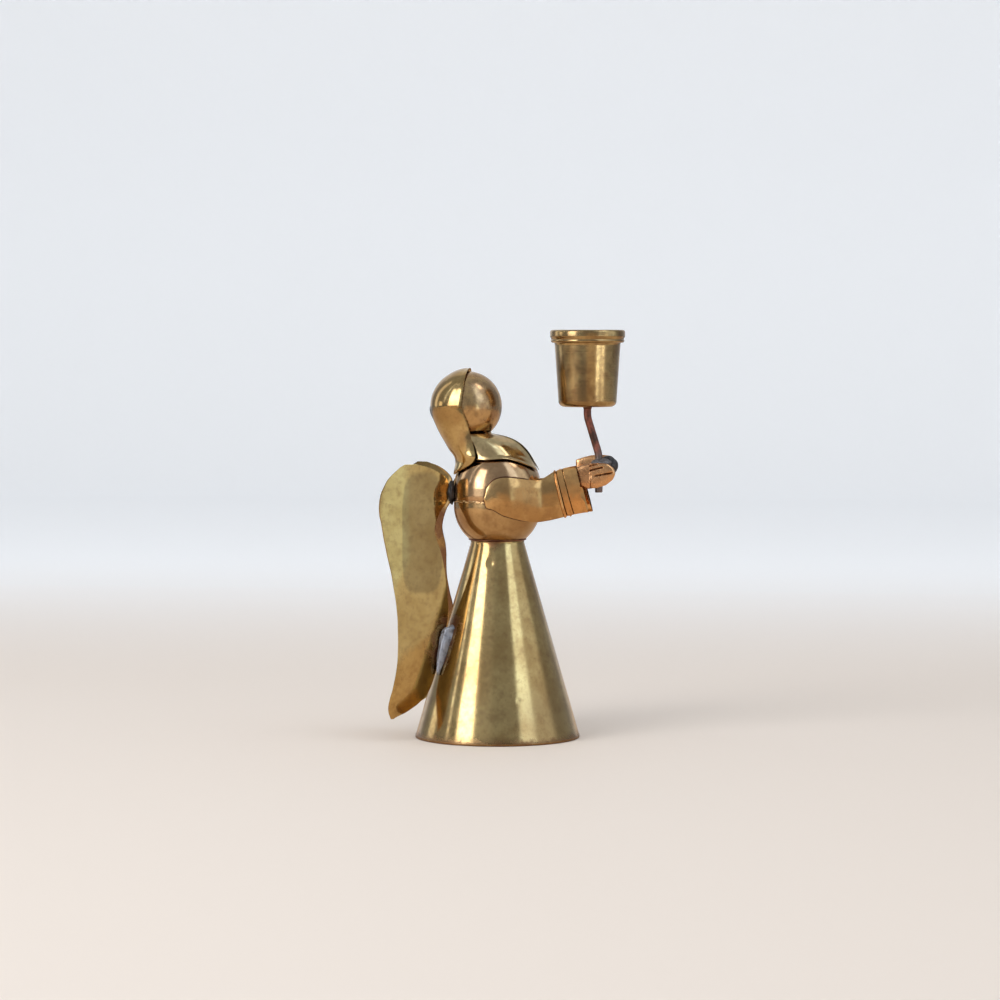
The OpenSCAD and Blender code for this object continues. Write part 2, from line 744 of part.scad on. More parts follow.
wing_touch_back = column(wing_shares, spindle_share, 1) * wing_depth;
wing_touch_half = sqrt(max(
    pow(spindle_skirt_r + wing_sheet / 2 + collar_gap, 2) - pow(wing_root_back + wing_touch_back, 2), 0));
wing_lean = (wing_touch_half - wing_flat_half(wing_touch_back)) / (1 - spindle_share);

// Point of the wing's sheet, a distance behind its root and at height share t, where its front edge
// lies at distance near behind the root
function wing_point(back, t, near) =
    let (
        bent = max(column(wing_bend_shares, t, 1) * wing_depth - back + near, 0),
        twist = wing_twist_share * max(1 - t / wing_twist_top_share, 0) * (back - near)
    )
    [
        -wing_root_back - back,
        wing_flat_half(back) + wing_lean * (1 - t) + twist - bent * bent / (2 * wing_bend_r),
        wing_low + wing_height * t];

// Wing: one curved sheet with a cut outline
module wing() {
    grid = [for (i = [0:wing_steps])
        let (
            t = i / wing_steps,
            near = column(wing_shares, t, 1) * wing_depth,
            far = column(wing_shares, t, 2) * wing_depth
        )
        [for (j = [0:wing_rows]) wing_point(mix(near, far, j / wing_rows), t, near)]];
    loft(sheet_rings(grid, wing_sheet));
}

module left_wing() {
    color(brass)
        wing();
}

module right_wing() {
    color(brass)
        mirror([0, 1, 0])
            wing();
}

// Spindle of solder with its middle at the origin, along Z
module solder_spindle(length, r) {
    half = length / 2;
    rotate_extrude()
        polygon([
            [0, -half],
            [r * solder_tip_share, -half],
            [r * solder_swell_share, -half * solder_swell_share / 2],
            [r, 0],
            [r * solder_swell_share, half * solder_swell_share / 2],
            [r * solder_tip_share, half],
            [0, half]]);
}

// Solder between the torso and the root of a wing
module wing_solder() {
    root = wing_point(0, (root_solder_z - wing_low) / wing_height, 0);
    root_r = wing_root_gap * 1.15;
    color(lead)
        difference() {
            translate([root[0] + wing_root_gap * 0.6, root[1] - root_r * 0.2, root_solder_z])
                solder_spindle(root_solder_length, root_r);
            cylinder(h = 2 * upper_dome_z, r = torso_r);
            wing();
        }
}

module left_wing_solder() {
    wing_solder();
}

module right_wing_solder() {
    mirror([0, 1, 0])
        wing_solder();
}

// Lead solder in the corner between the skirt and the outer face of a wing
module skirt_solder() {
    wing_angle = atan2(wing_touch_half, wing_root_back + wing_touch_back);
    beside = spindle_r / spindle_skirt_r * 180 / PI;
    color(lead)
        difference() {
            rotate([0, 0, 180 - wing_angle - beside])
                translate([spindle_skirt_r + spindle_r / 3, 0, spindle_z])
                    rotate([0, -atan(skirt_slope), 0])
                        solder_spindle(spindle_length, spindle_r);
            translate([0, 0, hem_height])
                cylinder(h = skirt_height - lip_height - hem_height, r1 = skirt_foot_r, r2 = skirt_top_r);
            wing();
        }
}

module left_skirt_solder() {
    skirt_solder();
}

module right_skirt_solder() {
    mirror([0, 1, 0])
        skirt_solder();
}

skirt_cone();
waist_disc();
waist_solder();
torso_lower_shell();
torso_upper_shell();
neck_peg();
head_ball();
hair();
hair_solder();
collar();
right_sleeve();
left_sleeve();
right_cuff();
left_cuff();
right_hand();
left_hand();
hand_solder();
candle_stem();
stem_solder();
candle_cup();
right_wing();
left_wing();
right_wing_solder();
left_wing_solder();
right_skirt_solder();
left_skirt_solder();
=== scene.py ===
"""Looks of the angel candle holder: soldered sheet brass with a turned cup, on a plain pale floor."""
import logging
import math
from dataclasses import dataclass
from enum import Enum
from typing import Callable, Sequence

import bpy
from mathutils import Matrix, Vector, noise


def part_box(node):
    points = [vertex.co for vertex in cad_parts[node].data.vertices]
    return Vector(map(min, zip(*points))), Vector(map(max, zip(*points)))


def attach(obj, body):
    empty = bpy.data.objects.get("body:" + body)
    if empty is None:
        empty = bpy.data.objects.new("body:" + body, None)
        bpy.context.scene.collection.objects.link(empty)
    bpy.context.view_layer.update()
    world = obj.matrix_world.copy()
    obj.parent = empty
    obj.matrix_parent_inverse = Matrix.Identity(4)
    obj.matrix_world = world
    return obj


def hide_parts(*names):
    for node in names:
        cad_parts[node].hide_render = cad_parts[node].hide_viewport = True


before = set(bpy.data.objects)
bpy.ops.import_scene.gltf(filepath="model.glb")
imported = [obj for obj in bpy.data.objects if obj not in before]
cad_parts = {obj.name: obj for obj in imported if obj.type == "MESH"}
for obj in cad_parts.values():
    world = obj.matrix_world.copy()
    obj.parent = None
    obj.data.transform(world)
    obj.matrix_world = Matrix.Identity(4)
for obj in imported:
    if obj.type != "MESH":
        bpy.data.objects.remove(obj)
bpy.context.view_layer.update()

logging.basicConfig(level=logging.INFO, format="%(message)s")
log = logging.getLogger("angel")

MM = 0.001
BODY = "root"
ORIGIN = Vector((0, 0, 0))
WELD = 0.004 * MM
POLE_RADIUS = 0.1 * MM
CORNER_ANGLE = 60.0
SOLDER_SHADING = 80.0
Place = Callable[[float, float], Vector]
Outline = Sequence[tuple[float, float]]
Colour = tuple[float, float, float]
Piece = bpy.types.Object
Material = bpy.types.Material
Socket = bpy.types.NodeSocket
Finishes = dict[str, Material]


class Side(Enum):
    """The two sides of the angel, with the sign of Y on each."""

    RIGHT = -1
    LEFT = 1

    @property
    def word(self) -> str:
        """Name of the side as the node names give it."""
        return self.name.lower()


class Grain(Enum):
    """How the surface of the metal was worked last."""

    ROLLED = "rolled"
    TURNED = "turned"
    HAND = "hand"


def low(node: str) -> Vector:
    """Lowest corner of a node of the frame."""
    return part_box(node)[0]


def high(node: str) -> Vector:
    """Highest corner of a node of the frame."""
    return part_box(node)[1]


def srgb(red: int, green: int, blue: int) -> Colour:
    """Linear colour of a colour as a screen shows it, each channel from 0 to 255."""
    shown = [channel / 255 for channel in (red, green, blue)]
    return tuple(c / 12.92 if c <= 0.04045 else ((c + 0.055) / 1.055) ** 2.4 for c in shown)


def mix(start: float, end: float, share: float) -> float:
    """Value at a share of the way from start to end."""
    return start + (end - start) * share


def clamp(value: float, least: float = 0.0, most: float = 1.0) -> float:
    """Value kept between least and most."""
    return max(least, min(most, value))


def smooth(share: float) -> float:
    """Share eased at both ends."""
    share = clamp(share)
    return share * share * (3 - 2 * share)


def soft_max(first: float, second: float, width: float) -> float:
    """Larger of two values, with a round change from one to the other."""
    return max(first, second) + max(1 - abs(first - second) / width, 0.0) ** 3 * width / 6


def bump_at(value: float, middle: float, width: float) -> float:
    """Round bump of height 1 at middle that ends half a width to either side."""
    return 1 - smooth(abs(value - middle) / (width / 2))


@dataclass(frozen=True)
class ShareTable:
    """Rows of shares whose first column rises, read smoothly in between."""

    rows: Sequence[Sequence[float]]

    def at(self, share: float, column: int) -> float:
        """Smooth value of a column.

        Args:
            share: value of the first column.
            column: which column is read.

        Returns:
            The value on a smooth curve through the rows.
        """
        last = len(self.rows) - 1
        row = 0
        while row < last - 1 and share > self.rows[row + 1][0]:
            row += 1
        start, end = self.rows[row][0], self.rows[row + 1][0]
        f = (share - start) / (end - start)
        a = self.rows[max(row - 1, 0)][column]
        b = self.rows[row][column]
        c = self.rows[row + 1][column]
        d = self.rows[min(row + 2, last)][column]
        line = b + (c - a) * f / 2
        return line + (2 * a - 5 * b + 4 * c - d) * f**2 / 2 + (3 * (b - c) + d - a) * f**3 / 2


@dataclass(frozen=True)
class Wear:
    """Unevenness of a surface: its greatest depth, the distance between bumps, and its seed."""

    depth: float
    size: float
    seed: float


class Bench:
    """Modelling steps that the pieces share."""

    @staticmethod
    def alone(piece: Piece) -> None:
        """Selects one piece and nothing else.

        Args:
            piece: the piece.
        """
        bpy.ops.object.select_all(action="DESELECT")
        piece.select_set(True)
        bpy.context.view_layer.objects.active = piece

    @staticmethod
    def edit(piece: Piece, action: str = "SELECT") -> None:
        """Goes to edit mode on one piece, with all or nothing of it selected.

        Args:
            piece: the piece.
            action: SELECT or DESELECT, for all or nothing of it.
        """
        Bench.alone(piece)
        bpy.ops.object.mode_set(mode="EDIT")
        bpy.ops.mesh.select_all(action=action)

    @staticmethod
    def leave() -> None:
        """Goes back to object mode."""
        bpy.ops.object.mode_set(mode="OBJECT")

    @staticmethod
    def named(name: str) -> Piece:
        """Names the primitive that was just added, and returns it.

        Args:
            name: name of the piece.

        Returns:
            The piece.
        """
        piece = bpy.context.active_object
        piece.name = name
        piece.data.name = name
        return piece

    @staticmethod
    def settle(piece: Piece) -> None:
        """Puts the piece's place, turn and size into its mesh."""
        Bench.alone(piece)
        bpy.ops.object.transform_apply(location=True, rotation=True, scale=True)

    @staticmethod
    def merge(piece: Piece) -> None:
        """Closes seams and poles of a piece.

        Args:
            piece: the piece.
        """
        Bench.edit(piece)
        bpy.ops.mesh.remove_doubles(threshold=WELD)
        bpy.ops.mesh.normals_make_consistent(inside=False)
        Bench.leave()

    @staticmethod
    def close_ends(piece: Piece) -> None:
        """Fills the open borders of a skin.

        Args:
            piece: the piece.
        """
        Bench.edit(piece, "DESELECT")
        bpy.ops.mesh.select_mode(type="EDGE")
        bpy.ops.mesh.select_non_manifold(extend=False, use_boundary=True)
        bpy.ops.mesh.edge_face_add()
        Bench.leave()

    @staticmethod
    def face_away(piece: Piece, inside: Callable[[Vector], Vector]) -> None:
        """Turns the faces of an open skin away from its inner side.

        Args:
            piece: a skin whose faces already agree.
            inside: gives a point on the inner side of a point of the skin.
        """
        total = sum(
            (face.center - inside(face.center)).dot(face.normal) * face.area for face in piece.data.polygons
        )
        if total < 0:
            Bench.edit(piece)
            bpy.ops.mesh.flip_normals()
            Bench.leave()

    @staticmethod
    def modifier(piece: Piece, kind: str, **settings: object) -> None:
        """Adds a modifier with these settings and applies it.

        Args:
            piece: the piece.
            kind: the modifier's type.
            settings: the modifier's own settings.
        """
        Bench.alone(piece)
        modifier = piece.modifiers.new(kind.title(), kind)
        for key, value in settings.items():
            setattr(modifier, key, value)
        bpy.ops.object.modifier_apply(modifier=modifier.name)

    @staticmethod
    def round_edges(piece: Piece, width: float, segments: int) -> None:
        """Rounds the edges that are sharper than a sheet's bends.

        Args:
            piece: the piece.
            width: width of the rounded edge.
            segments: steps across it.
        """
        Bench.modifier(
            piece, "BEVEL", width=width, segments=segments, limit_method="ANGLE",
            angle_limit=math.radians(CORNER_ANGLE), miter_outer="MITER_ARC", use_clamp_overlap=True,
        )

    @staticmethod
    def shade(piece: Piece, angle: float) -> Piece:
        """Shades a piece smoothly, but for edges that are sharper than an angle in degrees.

        Args:
            piece: what is shaded.
            angle: the angle in degrees.

        Returns:
            The piece, which is finished by this.
        """
        Bench.alone(piece)
        bpy.ops.object.shade_smooth_by_angle(angle=math.radians(angle))
        return piece

    @staticmethod
    def wear(piece: Piece, uneven: Wear) -> None:
        """Makes a surface slightly uneven, as sheet that was worked by hand, but nowhere prouder.

        Args:
            piece: what is made uneven.
            uneven: how far its points move.
        """
        shift = Vector((uneven.seed, uneven.seed * 1.7, -uneven.seed))
        moves = [
            vertex.normal * uneven.depth * (noise.noise(vertex.co / uneven.size + shift) - 1) / 2
            for vertex in piece.data.vertices
        ]
        for vertex, move in zip(piece.data.vertices, moves):
            vertex.co += move
        piece.data.update()

    @staticmethod
    def plate(
        piece: Piece, uneven: Wear, sheet: float, edge: float, offset: float = -1.0,
        shading: float = 35.0, segments: int = 2,
    ) -> Piece:
        """Makes a skin a piece of worked sheet.

        Args:
            piece: the skin.
            uneven: its unevenness.
            sheet: thickness of the sheet.
            edge: width of its rounded edges.
            offset: -1 for a sheet inwards of the skin, 0 for one on both sides of it.
            shading: edges that are sharper than this angle in degrees stay sharp.
            segments: steps of its rounded edges.

        Returns:
            The piece.
        """
        Bench.wear(piece, uneven)
        Bench.modifier(
            piece, "SOLIDIFY", thickness=sheet, offset=offset, use_even_offset=True, thickness_clamp=1.0
        )
        Bench.round_edges(piece, edge, segments)
        return Bench.shade(piece, shading)

    @staticmethod
    def sheet(name: str, across: int, along: int, place: Place) -> Piece:
        """Forms a flat grid into a sheet.

        Args:
            name: name of the piece.
            across: number of faces across.
            along: number of faces along.
            place: gives the point for a share across and a share along.

        Returns:
            The formed skin, with its seams closed and no thickness yet.
        """
        bpy.ops.object.select_all(action="DESELECT")
        bpy.ops.mesh.primitive_grid_add(x_subdivisions=across, y_subdivisions=along, size=1)
        piece = Bench.named(name)
        for vertex in piece.data.vertices:
            vertex.co = place(clamp(vertex.co.x + 0.5), clamp(vertex.co.y + 0.5))
        Bench.merge(piece)
        return piece

    @staticmethod
    def turned(name: str, outline: Outline, points: int = 160, middle: Vector = ORIGIN) -> Piece:
        """Draws a circle up through an outline, as on a lathe.

        Args:
            name: name of the piece.
            outline: radius and height of each ring, all radii above zero.
            points: number of points on a ring.
            middle: point on the axis from which the heights count.

        Returns:
            The turned skin. A last radius under a tenth of a millimetre is closed to a point.
        """
        radius, height = outline[0]
        bpy.ops.object.select_all(action="DESELECT")
        bpy.ops.mesh.primitive_circle_add(
            vertices=points, radius=radius, fill_type="NOTHING", location=middle + Vector((0, 0, height))
        )
        piece = Bench.named(name)
        Bench.settle(piece)
        Bench.edit(piece)
        bpy.ops.mesh.select_mode(type="EDGE")
        for (radius, height), (next_radius, next_height) in zip(outline, outline[1:]):
            rise = (0, 0, next_height - height)
            bpy.ops.mesh.extrude_region_move(TRANSFORM_OT_translate={"value": rise})
            ratio = next_radius / radius
            bpy.ops.transform.resize(
                value=(ratio, ratio, 1), center_override=middle + Vector((0, 0, next_height))
            )
        if outline[-1][0] < POLE_RADIUS:
            bpy.ops.mesh.merge(type="CENTER")
        Bench.leave()
        Bench.merge(piece)
        return piece

    @staticmethod
    def lump(
        name: str, middle: Vector, radii: Vector, rough: float, seed: float,
        reshape: Callable[[Vector], Vector] = Vector,
    ) -> Piece:
        """Forms a lump of solder.

        Args:
            name: name of the piece.
            middle: middle of the lump.
            radii: half its size along X, Y and Z.
            rough: how uneven it is, as a share of its size.
            seed: sets this lump apart from others.
            reshape: moves a point of the lump to its last place.

        Returns:
            The lump.
        """
        bpy.ops.object.select_all(action="DESELECT")
        bpy.ops.mesh.primitive_ico_sphere_add(subdivisions=5, radius=1, location=(0, 0, 0))
        piece = Bench.named(name)
        shift = Vector((seed, -seed, seed * 0.6))
        for vertex in piece.data.vertices:
            coarse = noise.noise(vertex.co * 1.3 + shift)
            swell = 1 + rough * (coarse + 0.5 * noise.noise(vertex.co * 3 + shift))
            vertex.co = reshape(Vector(c * r for c, r in zip(vertex.co * swell, radii)) + middle)
        piece.data.update()
        return Bench.shade(piece, SOLDER_SHADING)


def ramp(start: tuple[float, float], end: tuple[float, float], steps: int) -> list[tuple[float, float]]:
    """Evenly spaced points of a straight stretch of an outline, without its start."""
    shares = [step / steps for step in range(1, steps + 1)]
    return [(mix(start[0], end[0], share), mix(start[1], end[1], share)) for share in shares]


def arc(
    middle: tuple[float, float], radius: float, start: float, end: float, steps: int
) -> list[tuple[float, float]]:
    """Points of a round stretch of an outline.

    Args:
        middle: radius and height of the arc's middle.
        radius: radius of the arc.
        start: angle of the first point in degrees, from outwards towards up.
        end: angle of the last point in degrees.
        steps: number of stretches.

    Returns:
        The points, both ends included.
    """
    angles = [math.radians(mix(start, end, step / steps)) for step in range(steps + 1)]
    return [(middle[0] + radius * math.cos(a), middle[1] + radius * math.sin(a)) for a in angles]


class Desk:
    """Node desk of one material."""

    def __init__(self, name: str) -> None:
        """Starts a material that has only its output.

        Args:
            name: name of the material.
        """
        self.material = bpy.data.materials.new(name)
        self.material.use_nodes = True
        self.tree = self.material.node_tree
        self.tree.nodes.clear()
        self.output = self.tree.nodes.new("ShaderNodeOutputMaterial")

    def feed(self, entry: Socket, value: object) -> None:
        """Links an output socket to an input, or sets the input to a value.

        Args:
            entry: the input.
            value: the value or the output socket.
        """
        if isinstance(value, Socket):
            self.tree.links.new(value, entry)
        elif isinstance(value, tuple) and entry.type == "RGBA":
            entry.default_value = (*value, 1.0)
        else:
            entry.default_value = value

    def node(
        self, kind: str, inputs: dict[object, object] | None = None, **settings: object
    ) -> bpy.types.Node:
        """Adds a node.

        Args:
            kind: the node's type, without its common beginning.
            inputs: a value or an output socket for each input.
            settings: the node's own settings.

        Returns:
            The node.
        """
        node = self.tree.nodes.new("ShaderNode" + kind)
        for key, value in settings.items():
            setattr(node, key, value)
        for key, value in (inputs or {}).items():
            self.feed(node.inputs[key], value)
        return node

    def spot(self) -> Socket:
        """Object coordinates."""
        return self.node("TexCoord").outputs["Object"]

    def axis(self, vector: Socket, letter: str) -> Socket:
        """One coordinate of a vector."""
        return self.node("SeparateXYZ", {0: vector}).outputs[letter]

    def place(self, seed: float, scale: tuple[float, float, float] = (1.0, 1.0, 1.0)) -> Socket:
        """Object coordinates, scaled along each axis and shifted by a seed.

        Args:
            seed: sets this material apart from others.
            scale: waves in a metre along each axis.

        Returns:
            The vector.
        """
        shift = (seed, seed * 0.7, -seed)
        moved = self.node("Mapping", {"Vector": self.spot(), "Location": shift, "Scale": scale})
        return moved.outputs["Vector"]

    def noise(self, place: Socket, scale: float, detail: float, rough: float) -> Socket:
        """Noise from 0 to 1, with this many waves in a metre."""
        made = self.node("TexNoise", {"Vector": place, "Scale": scale, "Detail": detail, "Roughness": rough})
        return made.outputs["Fac"]

    def range(
        self, value: Socket, start: float, end: float, low_out: float = 0.0, high_out: float = 1.0
    ) -> Socket:
        """Smooth change from low_out to high_out as the value goes from start to end.

        Args:
            value: the value that is read.
            start: the value where the change starts.
            end: the value where it ends.
            low_out: result up to the start.
            high_out: result from the end on.

        Returns:
            The result.
        """
        made = self.node(
            "MapRange",
            {"Value": value, "From Min": start, "From Max": end, "To Min": low_out, "To Max": high_out},
            interpolation_type="SMOOTHSTEP",
        )
        return made.outputs["Result"]

    def math(self, operation: str, first: object, second: object = 0.0) -> Socket:
        """Result of a sum on one or two values or sockets."""
        return self.node("Math", {0: first, 1: second}, operation=operation).outputs["Value"]

    def times(self, first: object, second: object) -> Socket:
        """Product of two values or sockets."""
        return self.math("MULTIPLY", first, second)

    def vector(self, operation: str, first: Socket, second: object, result: str = "Vector") -> Socket:
        """Result of a sum on two vectors."""
        return self.node("VectorMath", {0: first, 1: second}, operation=operation).outputs[result]

    def mix(self, share: object, first: object, second: object, blend: str = "MIX") -> Socket:
        """Colour between the first and the second."""
        made = self.node("Mix", {0: share, 6: first, 7: second}, data_type="RGBA", blend_type=blend)
        return made.outputs[2]

    def close(self, shader: bpy.types.Node) -> Material:
        """Links the shader to the output and returns the material."""
        self.tree.links.new(shader.outputs[0], self.output.inputs["Surface"])
        return self.material

    def metal(
        self, tone: Socket, metallic: float, rough: Socket, relief: Socket, depth: float
    ) -> Material:
        """Makes the material a metal.

        Args:
            tone: its colour.
            metallic: how far it is bare metal.
            rough: its roughness.
            relief: its fine relief, from 0 to 1.
            depth: depth of the relief in metres.

        Returns:
            The material.
        """
        bump = self.node("Bump", {"Strength": 1.0, "Distance": depth, "Height": relief}).outputs["Normal"]
        inputs = {"Base Color": tone, "Metallic": metallic, "Roughness": rough, "Normal": bump}
        return self.close(self.node("BsdfPrincipled", inputs))


@dataclass(frozen=True)
class BrassFinish:
    """Brass with patina, specks, fine grain, and a darkening in its corners that is partly soiling and partly
    painted shade.

    Dark marks, partly torch marks and partly painted shade, are given by middle, reach and strength, and
    fields of painted reflection by middle and half size.
    """

    name: str
    bright: Colour = srgb(196, 168, 112)
    deep: Colour = srgb(168, 136, 86)
    stain: Colour = srgb(122, 84, 54)
    # Colour of the specks of soiling, and of the painted shade in corners and creases.
    dirt: Colour = srgb(44, 28, 20)
    # Colour of the torch marks, and of the painted shade along the far wing's front edge.
    heat: Colour = srgb(98, 54, 40)
    heated: tuple[tuple[Vector, float, float], ...] = ()
    # Fields of painted reflection, each a middle and a half size.
    tarnished: tuple[tuple[Vector, Vector], ...] = ()
    tarnish: Colour = (0.69, 0.70, 0.76)
    # Height over which the cone darkens towards its foot.
    foot_stain: float = 0.0
    foot_share: float = 0.7
    cloud_scale: float = 55.0
    mottle_scale: float = 420.0
    speck_scale: float = 2100.0
    cloud_band: tuple[float, float] = (0.36, 0.64)
    mottle_band: tuple[float, float] = (0.42, 0.75)
    speck_band: tuple[float, float] = (0.66, 0.78)
    edge_band: tuple[float, float] = (0.53, 0.60)
    grime_band: tuple[float, float] = (0.86, 0.30)
    rough_band: tuple[float, float] = (0.30, 0.75)
    mottle_share: float = 0.35
    stain_from: float = 0.56
    stain_fade: float = 0.16
    stain_share: float = 0.55
    speck_share: float = 0.5
    edge_share: float = 0.6
    grime_share: float = 0.85
    smoothest: float = 0.10
    roughest: float = 0.23
    grime_rough: float = 0.5
    heat_rough: float = 0.6
    grain: Grain = Grain.ROLLED
    grain_depth: float = 0.012 * MM
    dirt_reach: float = 0.9 * MM
    seed: float = 1.0

    def grain_scale(self) -> tuple[float, float, float]:
        """Waves of the fine grain in a metre, along X, Y and Z.

        Returns:
            The three scales.
        """
        return {
            Grain.ROLLED: (500.0, 500.0, 60.0),
            Grain.TURNED: (40.0, 40.0, 3200.0),
            Grain.HAND: (260.0, 260.0, 260.0),
        }[self.grain]

    def heat_marks(self, desk: Desk, mottle: Socket) -> Socket | None:
        """Share of the red-brown marks: torch marks at the joints, painted shade along the far wing's front
        edge, and a darkening towards the foot.

        Args:
            desk: desk of the material.
            mottle: fine noise that frays the marks.

        Returns:
            The share, or None for a finish without such marks.
        """
        spot = desk.spot()
        uneven = desk.times(desk.math("SUBTRACT", mottle, 0.5), 1.6)
        share = None
        for middle, reach, strength in self.heated:
            away = desk.vector("DISTANCE", spot, tuple(middle), "Value")
            away = desk.math("ADD", desk.math("DIVIDE", away, reach), uneven)
            mark = desk.range(away, 1.0, 0.2, 0.0, strength)
            share = mark if share is None else desk.math("MAXIMUM", share, mark)
        # Darker towards the foot of the cone.
        if self.foot_stain:
            height = desk.math("ADD", desk.math("DIVIDE", desk.axis(spot, "Z"), self.foot_stain), uneven)
            mark = desk.range(height, 1.0, 0.0, 0.0, self.foot_share)
            share = mark if share is None else desk.math("MAXIMUM", share, mark)
        return share

    def tarnished_tone(self, desk: Desk, clouds: Socket, tone: Socket) -> Socket:
        """Colour with painted reflections: greyish fields on the outside of the near wing, where the metal
        mirrors something dark.

        Args:
            desk: desk of the material.
            clouds: coarse noise that frays the fields.
            tone: the colour without them.

        Returns:
            The colour.
        """
        for middle, reach in self.tarnished:
            off = desk.vector("SUBTRACT", desk.spot(), tuple(middle))
            off = desk.vector("MULTIPLY", off, tuple(1 / r for r in reach))
            off = desk.vector("MULTIPLY", off, off)
            off = desk.vector("DOT_PRODUCT", off, off, "Value")
            off = desk.math("ADD", off, desk.times(desk.math("SUBTRACT", clouds, 0.5), 0.7))
            outside = desk.axis(desk.node("NewGeometry").outputs["Normal"], "Y")
            share = desk.times(desk.range(off, 1.2, 0.8), desk.range(outside, -0.1, -0.3))
            tone = desk.mix(share, tone, self.tarnish, "MULTIPLY")
        return tone

    def make(self) -> Material:
        """Builds the material.

        Returns:
            The material.
        """
        desk = Desk(self.name)
        plain = desk.place(self.seed)
        clouds = desk.noise(plain, self.cloud_scale, 5, 0.6)
        mottle = desk.noise(plain, self.mottle_scale, 4, 0.65)
        specks = desk.noise(plain, self.speck_scale, 2, 0.5)
        grain = desk.noise(desk.place(self.seed, self.grain_scale()), 1.0, 3, 0.6)
        tone = desk.mix(desk.range(clouds, *self.cloud_band), self.deep, self.bright)
        tone = desk.mix(desk.range(mottle, *self.mottle_band, 0.0, self.mottle_share), tone, self.stain)
        stain_full = self.stain_from + self.stain_fade
        stained = desk.range(clouds, self.stain_from, stain_full, 0.0, self.stain_share)
        tone = desk.mix(stained, tone, self.stain)
        tone = desk.mix(desk.range(specks, *self.speck_band, 0.0, self.speck_share), tone, self.dirt)
        marks = self.heat_marks(desk, mottle)
        if marks is not None:
            tone = desk.mix(marks, tone, self.heat)
        tone = self.tarnished_tone(desk, clouds, tone)
        # Lighter on sharp edges: partly rubbed brass, partly a painted highlight along the sheet's edges.
        edge = desk.node("NewGeometry").outputs["Pointiness"]
        tone = desk.mix(desk.range(edge, *self.edge_band, 0.0, self.edge_share), tone, self.bright)
        # Darker where ambient occlusion finds corners and creases: partly soiling, partly painted shade.
        corner = desk.node("AmbientOcclusion", {"Distance": self.dirt_reach}, samples=6).outputs["AO"]
        corner_dirt_and_shade = desk.range(corner, *self.grime_band, 0.0, self.grime_share)
        tone = desk.mix(corner_dirt_and_shade, tone, self.dirt)
        rough = desk.range(mottle, *self.rough_band, self.smoothest, self.roughest)
        rough = desk.math("MAXIMUM", rough, desk.times(corner_dirt_and_shade, self.grime_rough))
        if marks is not None:
            rough = desk.math("MAXIMUM", rough, desk.times(marks, self.heat_rough))
        relief = desk.math("ADD", desk.times(grain, 0.6), desk.times(mottle, 0.4))
        return desk.metal(tone, 1.0, rough, relief, self.grain_depth)


@dataclass(frozen=True)
class CopperFinish:
    """Copper wire with a dark skin that turns grey near the solder."""

    name: str
    red: Colour = srgb(150, 88, 70)
    dark: Colour = srgb(78, 58, 50)
    grey: Colour = srgb(116, 108, 102)
    grey_below: float = 0.0
    grey_fade: float = 7 * MM
    metallic: float = 0.85
    relief: float = 0.03 * MM
    seed: float = 3.0

    def make(self) -> Material:
        """Builds the material.

        Returns:
            The material.
        """
        desk = Desk(self.name)
        plain = desk.place(self.seed)
        clouds = desk.noise(plain, 260.0, 4, 0.6)
        fine = desk.noise(plain, 1500.0, 3, 0.6)
        tone = desk.mix(desk.range(clouds, 0.35, 0.65), self.dark, self.red)
        height = desk.axis(desk.spot(), "Z")
        greyed = desk.range(height, self.grey_below + self.grey_fade, self.grey_below, 0.0, 0.75)
        tone = desk.mix(greyed, tone, self.grey)
        tone = desk.mix(desk.range(fine, 0.6, 0.75, 0.0, 0.5), tone, self.dark)
        return desk.metal(tone, self.metallic, desk.range(clouds, 0.3, 0.7, 0.32, 0.5), fine, self.relief)


@dataclass(frozen=True)
class LeadFinish:
    """Lead solder with a dull skin."""

    name: str
    pale: Colour
    dark: Colour
    dark_from: float = 0.45
    metallic: float = 0.7
    relief: float = 0.06 * MM
    seed: float = 5.0

    def make(self) -> Material:
        """Builds the material.

        Returns:
            The material.
        """
        desk = Desk(self.name)
        plain = desk.place(self.seed)
        clouds = desk.noise(plain, 320.0, 4, 0.6)
        fine = desk.noise(plain, 1400.0, 4, 0.65)
        pale = desk.range(clouds, self.dark_from - 0.14, self.dark_from + 0.12)
        tone = desk.mix(pale, self.dark, self.pale)
        tone = desk.mix(desk.range(fine, 0.55, 0.75, 0.0, 0.45), tone, self.dark)
        return desk.metal(tone, self.metallic, desk.range(clouds, 0.3, 0.7, 0.38, 0.6), fine, self.relief)


def dress(piece: Piece, material: Material) -> None:
    """Gives a piece one material."""
    piece.data.materials.clear()
    piece.data.materials.append(material)


def hand_in(piece: Piece, slot: str, *nodes: str) -> None:
    """Attaches a finished piece to its body, hides the nodes that it stands for, and logs its number of
    faces.

    Args:
        piece: the piece.
        slot: not used.
        nodes: the nodes that it replaces.
    """
    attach(piece, BODY)
    if nodes:
        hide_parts(*nodes)
    log.info("%s: %d faces", piece.name, len(piece.data.polygons))


class Assembly:
    """Part of the holder that builds and dresses its own pieces, attaches them to the body and hides the
    nodes that they stand for.
    """

    def pieces(self) -> list[tuple]:
        """Each finished piece with its finish, its slot and the nodes that it stands for."""
        raise NotImplementedError

    def build(self, made: Finishes) -> None:
        """Builds and dresses the pieces, attaches them to the body and hides the nodes that they stand for.

        Args:
            made: every finish by name.
        """
        for piece, finish, slot, *nodes in self.pieces():
            dress(piece, made[finish])
            hand_in(piece, slot, *nodes)


@dataclass(frozen=True)
class Dent:
    """A dent in the side of the cone that the photograph shows."""

    x: float
    z: float
    size: float
    depth: float


